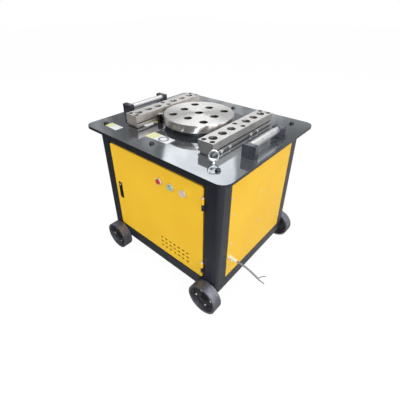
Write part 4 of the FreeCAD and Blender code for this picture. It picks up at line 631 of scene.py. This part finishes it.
# The feed rollers: steel tubes that turn freely on fixed shafts, polished by the bar that is
# pulled over them.
# painted shade: the left roller is given a darker tone than the right, holding down the bright
# light it catches; the rollers are one steel
for name, tone in (("left_roller", 0.50), ("right_roller", 0.70), ("roller_shafts", 0.60)):
    dress(ground_steel(name + "_steel", top_dark=(0.85 * tone, 0.85 * tone, 0.86 * tone),
                       top_light=(tone, tone, tone), side=(0.9 * tone, 0.9 * tone, 0.92 * tone),
                       grain=(40, 2, 40), roughness=0.36), name)


# The gear case: an iron casting in grey-green machine enamel under the table, with two steel
# bearings, the bull gear and the pinion shaft in it.
def cast_enamel(name, dark, light, roughness, grain=160.0):
    """Enamel over a sand casting: a coarse skin that shows through the paint."""
    material, shader, add, link = new_material(name)
    tone = two_colours(add, link, cloud(add, link, 7.0), dark, light)
    grime = cloud(add, link, 26.0, -0.7, 0.7, 6)
    link(two_colours(add, link, grime, tone, tuple(value * 0.45 for value in dark)),
         shader.inputs["Base Color"])
    link(cloud(add, link, 40.0, roughness * 0.8, roughness * 1.3), shader.inputs["Roughness"])
    dimple(add, link, shader, cloud(add, link, grain, 0.0, 1.0, 4), 0.35, 0.0006)
    return material


case_enamel = cast_enamel("case_enamel", (0.09, 0.115, 0.11), (0.13, 0.16, 0.15),
                          roughness=0.45)
dress(case_enamel, "gear_case")
turned_steel = ground_steel("turned_steel", top_dark=(0.34, 0.34, 0.34),
                            top_light=(0.50, 0.50, 0.49), side=(0.38, 0.37, 0.36),
                            grain=(1, 1, 24), roughness=0.34)
dress(turned_steel, "bull_gear", "pinion_shaft", "gear_case_bearings", "motor_shaft")

# The main spindle: a dark forging whose wide flange carries the disc; its near-black tone is
# also painted shade, so that it shows as a black gap between the disc and the table.
spindle_steel_and_shade = plated("spindle_steel_and_shade", (0.07, 0.07, 0.075), (0.14, 0.14, 0.145), roughness=0.4,
                       scale=30.0)
dress(spindle_steel_and_shade, "main_spindle")

# The working disc: 38 mm of steel, ground on a turning table so that fine rings catch the light,
# with nine bored sockets. Oil darkens the metal round each socket, the sockets' walls are
# darkened as painted shade, and the rim carries upright warm streaks as painted reflection.
disc_turn = math.radians(5.06)
socket_pitch = 0.09007
socket_oil_tone = (0.36, 0.34, 0.32)
socket_painted_shade = (0.045, 0.042, 0.040)
disc_steel, shader, add, link = new_material("disc_steel")
place = add("TexCoord")
flat_place = add("VectorMath", operation="MULTIPLY")
link(place.outputs["Object"], flat_place.inputs[0])
flat_place.inputs[1].default_value = (1, 1, 0)
reach = add("VectorMath", operation="LENGTH")
link(flat_place.outputs[0], reach.inputs[0])
rings = add("TexNoise", noise_dimensions="1D", Scale=1.0, Detail=3)
link(math_of(add, link, "MULTIPLY", reach.outputs["Value"], 1500.0), rings.inputs["W"])
ring_marks = span(add, link, rings.outputs["Fac"], 0.3, 0.7)
broad_rings = add("TexNoise", noise_dimensions="1D", Scale=1.0, Detail=2)
link(math_of(add, link, "MULTIPLY", reach.outputs["Value"], 90.0), broad_rings.inputs["W"])
grid = add("Mapping", vector_type="POINT")
grid.inputs["Rotation"].default_value = (0, 0, -disc_turn)
link(flat_place.outputs[0], grid.inputs["Vector"])
cell = add("VectorMath", operation="SNAP")
shifted = add("VectorMath", operation="ADD")
link(grid.outputs[0], shifted.inputs[0])
shifted.inputs[1].default_value = (socket_pitch / 2, socket_pitch / 2, 0)
link(shifted.outputs[0], cell.inputs[0])
cell.inputs[1].default_value = (socket_pitch, socket_pitch, 1)
from_socket = add("VectorMath", operation="DISTANCE")
link(grid.outputs[0], from_socket.inputs[0])
link(cell.outputs[0], from_socket.inputs[1])
within = span(add, link, reach.outputs["Value"], 0.158, 0.153)
oil = math_of(add, link, "MULTIPLY", within,
              span(add, link, from_socket.outputs["Value"], 0.0275, 0.0195, 0.0, 0.55, True))
tone = two_colours(add, link, ring_marks, (0.77, 0.765, 0.76), (0.91, 0.905, 0.90))
tone = two_colours(add, link, span(add, link, broad_rings.outputs["Fac"], 0.3, 0.7, 0.0, 0.3), tone,
                   (0.65, 0.64, 0.63))
patchy_oil = math_of(add, link, "MULTIPLY", oil, cloud(add, link, 70.0, 0.2, 1.0))
tone = two_colours(add, link, patchy_oil, tone, socket_oil_tone)
facing_up = span(add, link, along(add, link, place.outputs["Normal"], (0, 0, 1)), 0.4, 0.8)
# painted reflection: upright warm streaks on the rim stand in for the blurred streaky reflections a
# turned rim shows
streaks = add("Mapping")
streaks.inputs["Scale"].default_value = (1, 1, 0.05)
link(place.outputs["Object"], streaks.inputs["Vector"])
film = cloud(add, link, 13.0, -0.9, 1.0, 3, streaks.outputs[0])
rim_painted_reflection_tone = two_colours(add, link, film, (0.66, 0.655, 0.65), (0.42, 0.32, 0.25))
tone = two_colours(add, link, facing_up, rim_painted_reflection_tone, tone)
# painted shade: the sockets' inside walls are made near black
socket_wall_shade = math_of(add, link, "MULTIPLY", within,
                    span(add, link, from_socket.outputs["Value"], 0.0196, 0.0190))
link(two_colours(add, link, socket_wall_shade, tone, socket_painted_shade), shader.inputs["Base Color"])
rim_dulling = span(add, link, facing_up, 0.0, 1.0, 0.06, 0.0)
link(math_of(add, link, "ADD", span(add, link, ring_marks, 0.0, 1.0, 0.24, 0.34), rim_dulling),
     shader.inputs["Roughness"])
shader.inputs["Metallic"].default_value = 1.0
link(span(add, link, facing_up, 0.0, 1.0, 0.98, 0.7), shader.inputs["Anisotropic"])
outward = add("VectorTransform", vector_type="VECTOR", convert_from="OBJECT", convert_to="WORLD")
unit = add("VectorMath", operation="NORMALIZE")
link(flat_place.outputs[0], unit.inputs[0])
across_marks = add("Mix", data_type="VECTOR")
across_marks.inputs[4].default_value = (0, 0, 1)
link(unit.outputs[0], across_marks.inputs[5])
link(facing_up, across_marks.inputs[0])
link(across_marks.outputs[1], outward.inputs[0])
link(outward.outputs[0], shader.inputs["Tangent"])
dimple(add, link, shader, ring_marks, 0.05, 0.00015)
dress(disc_steel, "work_disc")
soften_edges("work_disc", width=0.0013)
dress(bright_zinc, "disc_rim_screws")

# The belt drive: two cast iron pulleys with machined grooves, and two rubber belts whose tops
# are worn smooth.
pulley_iron = plated("pulley_iron", (0.16, 0.165, 0.17), (0.26, 0.265, 0.27), roughness=0.42,
                     scale=40.0)
dress(pulley_iron, "driven_pulley", "motor_pulley")
belt_rubber = cast_enamel("belt_rubber", (0.014, 0.014, 0.014), (0.030, 0.029, 0.028),
                          roughness=0.7, grain=500.0)
dress(belt_rubber, "drive_belts")

# The motor: a finned aluminium housing with a terminal box, sprayed blue, on a folded steel
# stand that is painted with the frame.
motor_blue = cast_enamel("motor_blue", (0.045, 0.10, 0.19), (0.07, 0.145, 0.25), roughness=0.4)
dress(motor_blue, "motor_housing", "motor_terminal_box")
dress(charcoal_paint, "motor_stand")

# The control gear: a zinc plated mounting plate on spacers behind the right panel, with three
# moulded contactors.
galvanised = plated("galvanised", (0.50, 0.51, 0.50), (0.66, 0.67, 0.65), roughness=0.38,
                    scale=25.0)
dress(galvanised, "contactor_plate")


def moulded(name, dark, light, roughness, clear=0.0, gloss=0.5):
    """Moulded plastic: almost one tone, with a fine spark-eroded skin."""
    material, shader, add, link = new_material(name)
    link(two_colours(add, link, cloud(add, link, 35.0), dark, light), shader.inputs["Base Color"])
    link(cloud(add, link, 90.0, roughness * 0.85, roughness * 1.2), shader.inputs["Roughness"])
    dimple(add, link, shader, cloud(add, link, 1200.0, 0.0, 1.0, 2), 0.1, 0.0001)
    shader.inputs["Coat Weight"].default_value = clear
    shader.inputs["Coat Roughness"].default_value = 0.08
    shader.inputs["Specular IOR Level"].default_value = gloss
    return material


pale_moulding = moulded("pale_moulding", (0.44, 0.44, 0.41), (0.52, 0.52, 0.49),
                        roughness=0.45)
dress(pale_moulding, "contactors")
black_moulding = moulded("black_moulding", (0.005, 0.005, 0.006), (0.010, 0.010, 0.011),
                         roughness=0.4, gloss=0.3)
dress(black_moulding, "contact_blocks")

# The four wheels: iron castings with a rim, a thin web and a hub, in thin dark paint that the
# floor has polished off the treads. They turn on two square axle bars.
wheels_middle = 0.0165
half_wheelbase = 0.3315
axle_height = 0.08
web_radius = 0.0632
wheel_iron, shader, add, link = new_material("wheel_iron")
place = add("TexCoord")
skin = two_colours(add, link, cloud(add, link, 12.0), (0.11, 0.11, 0.13), (0.18, 0.18, 0.215))
spots = cloud(add, link, 110.0, -0.8, 0.6, 5)
skin = two_colours(add, link, spots, skin, (0.34, 0.34, 0.39))
parts = add("SeparateXYZ")
link(place.outputs["Object"], parts.inputs[0])
side_of = math_of(add, link, "MULTIPLY", math_of(add, link, "SIGN", parts.outputs[0], 0),
                  half_wheelbase)
from_axle = add("CombineXYZ")
from_middle = math_of(add, link, "SUBTRACT", parts.outputs[0], wheels_middle)
link(math_of(add, link, "SUBTRACT", from_middle, side_of), from_axle.inputs[0])
link(math_of(add, link, "SUBTRACT", parts.outputs[2], axle_height), from_axle.inputs[2])
reach = add("VectorMath", operation="LENGTH")
link(from_axle.outputs[0], reach.inputs[0])
# darker inside the rim: the web and hub are near black and not metallic
inner_dark_tone = two_colours(add, link, spots, (0.012, 0.012, 0.014), (0.05, 0.05, 0.055))
inner_part = span(add, link, reach.outputs["Value"], web_radius, web_radius - 0.001)
skin = two_colours(add, link, inner_part, skin, inner_dark_tone)
link(two_colours(add, link, worn_edges(add, link, 0.002, 50.0), skin, (0.62, 0.62, 0.66)),
     shader.inputs["Base Color"])
link(span(add, link, inner_part, 0.0, 1.0, 0.75, 0.0), shader.inputs["Metallic"])
link(cloud(add, link, 45.0, 0.44, 0.60), shader.inputs["Roughness"])
dimple(add, link, shader, cloud(add, link, 220.0, 0.0, 1.0, 4), 0.2, 0.0004)
wheel_names = [f"{end}_{side}_wheel" for end in ("front", "back") for side in ("left", "right")]
dress(wheel_iron, *wheel_names)
dress(black_oxide, "axle_retainers")
dress(charcoal_paint, "wheel_axles")


# The wheels' web screws: four small socket screws on each web, round the hub and a quarter turn
# apart. They are steel, zinc plated and bright, and turn with their wheel.
def socket_screw(radius, height):
    """A low screw head with a round recess, its foot at the origin and its axis upward."""
    bpy.ops.mesh.primitive_cylinder_add(vertices=24, radius=radius, depth=height,
                                        location=(0, 0, height / 2))
    head = bpy.context.object
    bpy.ops.object.transform_apply(location=True)
    pick_end(head, 1)
    bpy.ops.mesh.inset(thickness=radius * 0.12)
    bpy.ops.transform.translate(value=(0, 0, height * 0.2))
    bpy.ops.mesh.inset(thickness=radius * 0.4)
    bpy.ops.mesh.extrude_region_move(TRANSFORM_OT_translate={"value": (0, 0, -height * 0.6)})
    bpy.ops.object.mode_set(mode="OBJECT")
    bpy.ops.object.shade_smooth_by_angle(angle=math.radians(35))
    return head


screw_radius = 0.005
screw_height = 0.0035
screw_circle = 0.046
first_angle = math.radians(15)
web_depth = 0.018
pattern = socket_screw(screw_radius, screw_height)
for name in wheel_names:
    low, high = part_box(name)
    centre = Vector(((low[0] + high[0]) / 2, 0, (low[2] + high[2]) / 2))
    outward = -1 if low[1] < 0 else 1
    face_y = (low[1] + web_depth) if outward < 0 else (high[1] - web_depth)
    lean = Matrix.Rotation(math.radians(90) * -outward, 4, "X")
    for index in range(4):
        angle = first_angle + index * math.pi / 2
        spot = centre + Vector((screw_circle * math.cos(angle), face_y,
                                screw_circle * math.sin(angle)))
        screw = pattern.copy()
        screw.data = pattern.data.copy()
        bpy.context.collection.objects.link(screw)
        screw.data.transform(Matrix.Translation(spot) @ lean)
        settle(screw, f"{name}_screw_{index + 1}", bright_zinc, name)
bpy.data.objects.remove(pattern)

# The limit switch: a black moulded body screwed to the table beside the disc, with a plated
# arm that carries a small roller. One more small screw stands beside it.
dress(black_moulding, "switch_body")
soften_edges("switch_body", width=0.0008)
dress(bright_zinc, "switch_lever")
side_screw_spot = (-0.1760, -0.1390, table_top)
side_screw = socket_screw(radius=0.0042, height=0.004)
side_screw.data.transform(Matrix.Translation(side_screw_spot))
settle(side_screw, "switch_side_screw", black_oxide, "frame")

# The door: a folded tray of the same yellow sheet as the panels, with vent slots near its foot,
# on two lift-off hinges whose upper halves are painted with it.
dress(yellow_paint, "front_door", "hinge_upper_halves")
soften_edges("front_door", width=0.0012)
dress(charcoal_paint, "hinge_lower_halves")


# The hinges' caps: a small domed cap, turned from steel and zinc plated, is pressed in the top of
# each upper half and moves with the door.
def hinge_cap(name, top):
    """A turned cap: a short collar that rises to a rounded crown."""
    hinge_x = 0.3105
    hinge_y = -0.3388
    collar = 0.0015
    radius = 0.0056
    crown_height = radius * 0.75
    crown_step = 18
    bpy.ops.mesh.primitive_cylinder_add(vertices=32, radius=radius, depth=collar,
                                        location=(hinge_x, hinge_y, top + collar / 2))
    cap = bpy.context.object
    pick_end(cap, 1)
    for step in range(1, 5):
        share = math.radians(crown_step * step)
        before = math.radians(crown_step * (step - 1))
        bpy.ops.mesh.inset(thickness=radius * (math.cos(before) - math.cos(share)) * 0.92)
        rise = crown_height * (math.sin(share) - math.sin(before))
        bpy.ops.transform.translate(value=(0, 0, rise))
    bpy.ops.object.mode_set(mode="OBJECT")
    bpy.ops.object.shade_smooth_by_angle(angle=math.radians(50))
    settle(cap, name, bright_zinc, "door")


hinge_top_low = 0.266
hinge_top_high = 0.633
hinge_cap("low_hinge_cap", hinge_top_low)
hinge_cap("high_hinge_cap", hinge_top_high)

# The flush lock: a black moulded pan let into the door with a lever that swings out, and a
# bright push button in a plated ring above it.
dress(black_moulding, "lock_housing", "lock_lever")
soften_edges("lock_housing", width=0.0007)
soften_edges("lock_lever", width=0.0009)
dress(bright_zinc, "lock_button")

# The push buttons: red, green and white moulded caps with a thin clear gloss, in bezels of satin
# plated metal that a nut behind the door's sheet holds.
satin_ring = plated("satin_ring", (0.80, 0.79, 0.74), (0.90, 0.89, 0.85), roughness=0.3)
satin_ring.node_tree.nodes["Principled BSDF"].inputs["Metallic"].default_value = 0.3
dress(satin_ring, "button_bezels")
soften_edges("button_bezels", width=0.0012, segments=3)
for colour, dark, light in (("red", (0.50, 0.030, 0.022), (0.62, 0.05, 0.035)),
                            ("green", (0.22, 0.44, 0.40), (0.32, 0.55, 0.50)),
                            ("white", (0.62, 0.46, 0.44), (0.74, 0.58, 0.56))):
    dress(moulded(colour + "_cap", dark, light, roughness=0.25, clear=0.6), colour + "_button")
    soften_edges(colour + "_button", width=0.001, segments=3)

# The cable gland: moulded cream nylon, with a hexagon against the right panel, a nut behind it
# and a tapered strain relief that grips the cable.
cream_nylon = moulded("cream_nylon", (0.92, 0.86, 0.58), (0.97, 0.94, 0.70), roughness=0.35,
                      clear=0.2)
dress(cream_nylon, "cable_gland")
soften_edges("cable_gland", width=0.0006)


# The supply cable: a short rubber-sheathed tail that leaves the gland and ends in three bare
# cores, as the machine is sold. It is stiff enough to stand out by itself.
def cord(name, points, diameter, material, replaced):
    """A cord on one smooth line through the route that the solid follows."""
    line = bpy.data.curves.new(name, "CURVE")
    line.dimensions = "3D"
    spline = line.splines.new("NURBS")
    spline.points.add(len(points) - 1)
    for control, (x, y, z) in zip(spline.points, points):
        control.co = (x / 1000, y / 1000, z / 1000, 1)
    spline.order_u = 3
    spline.use_endpoint_u = True
    line.bevel_depth = diameter / 2
    line.bevel_resolution = 5
    line.resolution_u = 16
    line.use_fill_caps = True
    piece = bpy.data.objects.new(name, line)
    bpy.context.collection.objects.link(piece)
    line.materials.append(material)
    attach(piece, "frame")
    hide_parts(replaced)


sheath_rubber = moulded("sheath_rubber", (0.21, 0.205, 0.21), (0.29, 0.28, 0.285),
                        roughness=0.5)
cable_end = (543.0, -237.0, 255.5)
cord("supply_cord", [(403, -237, 280.5), (459, -237, 280.5), (499, -235.5, 273), cable_end],
     diameter=0.0095, material=sheath_rubber,
     replaced="supply_cable")
for number, length, steps, dark, light in (
        (1, 0.0496, [(0, 0, 2.4), (9, 1, 6.4), (18, 2, 27.4), (34, 3, 35.4)],
         (0.10, 0.055, 0.035), (0.16, 0.09, 0.06)),
        (2, 0.0350, [(0, -2.4, -1.2), (13, -3.4, -5.2), (34, -4.4, -0.2)],
         (0.03, 0.045, 0.10), (0.05, 0.07, 0.15)),
        (3, 0.0364, [(0, 2.4, -1.2), (12, 3.4, -9.2), (32, 5.4, -18.2)],
         (0.20, 0.20, 0.20), (0.30, 0.30, 0.30))):
    points = [tuple(end + step for end, step in zip(cable_end, offset)) for offset in steps]
    core_sheath = moulded(f"core_{number}_sheath", dark, light, roughness=0.3, clear=0.3)
    cord(f"core_{number}", points,
         diameter=0.003, material=core_sheath,
         replaced="cable_cores")
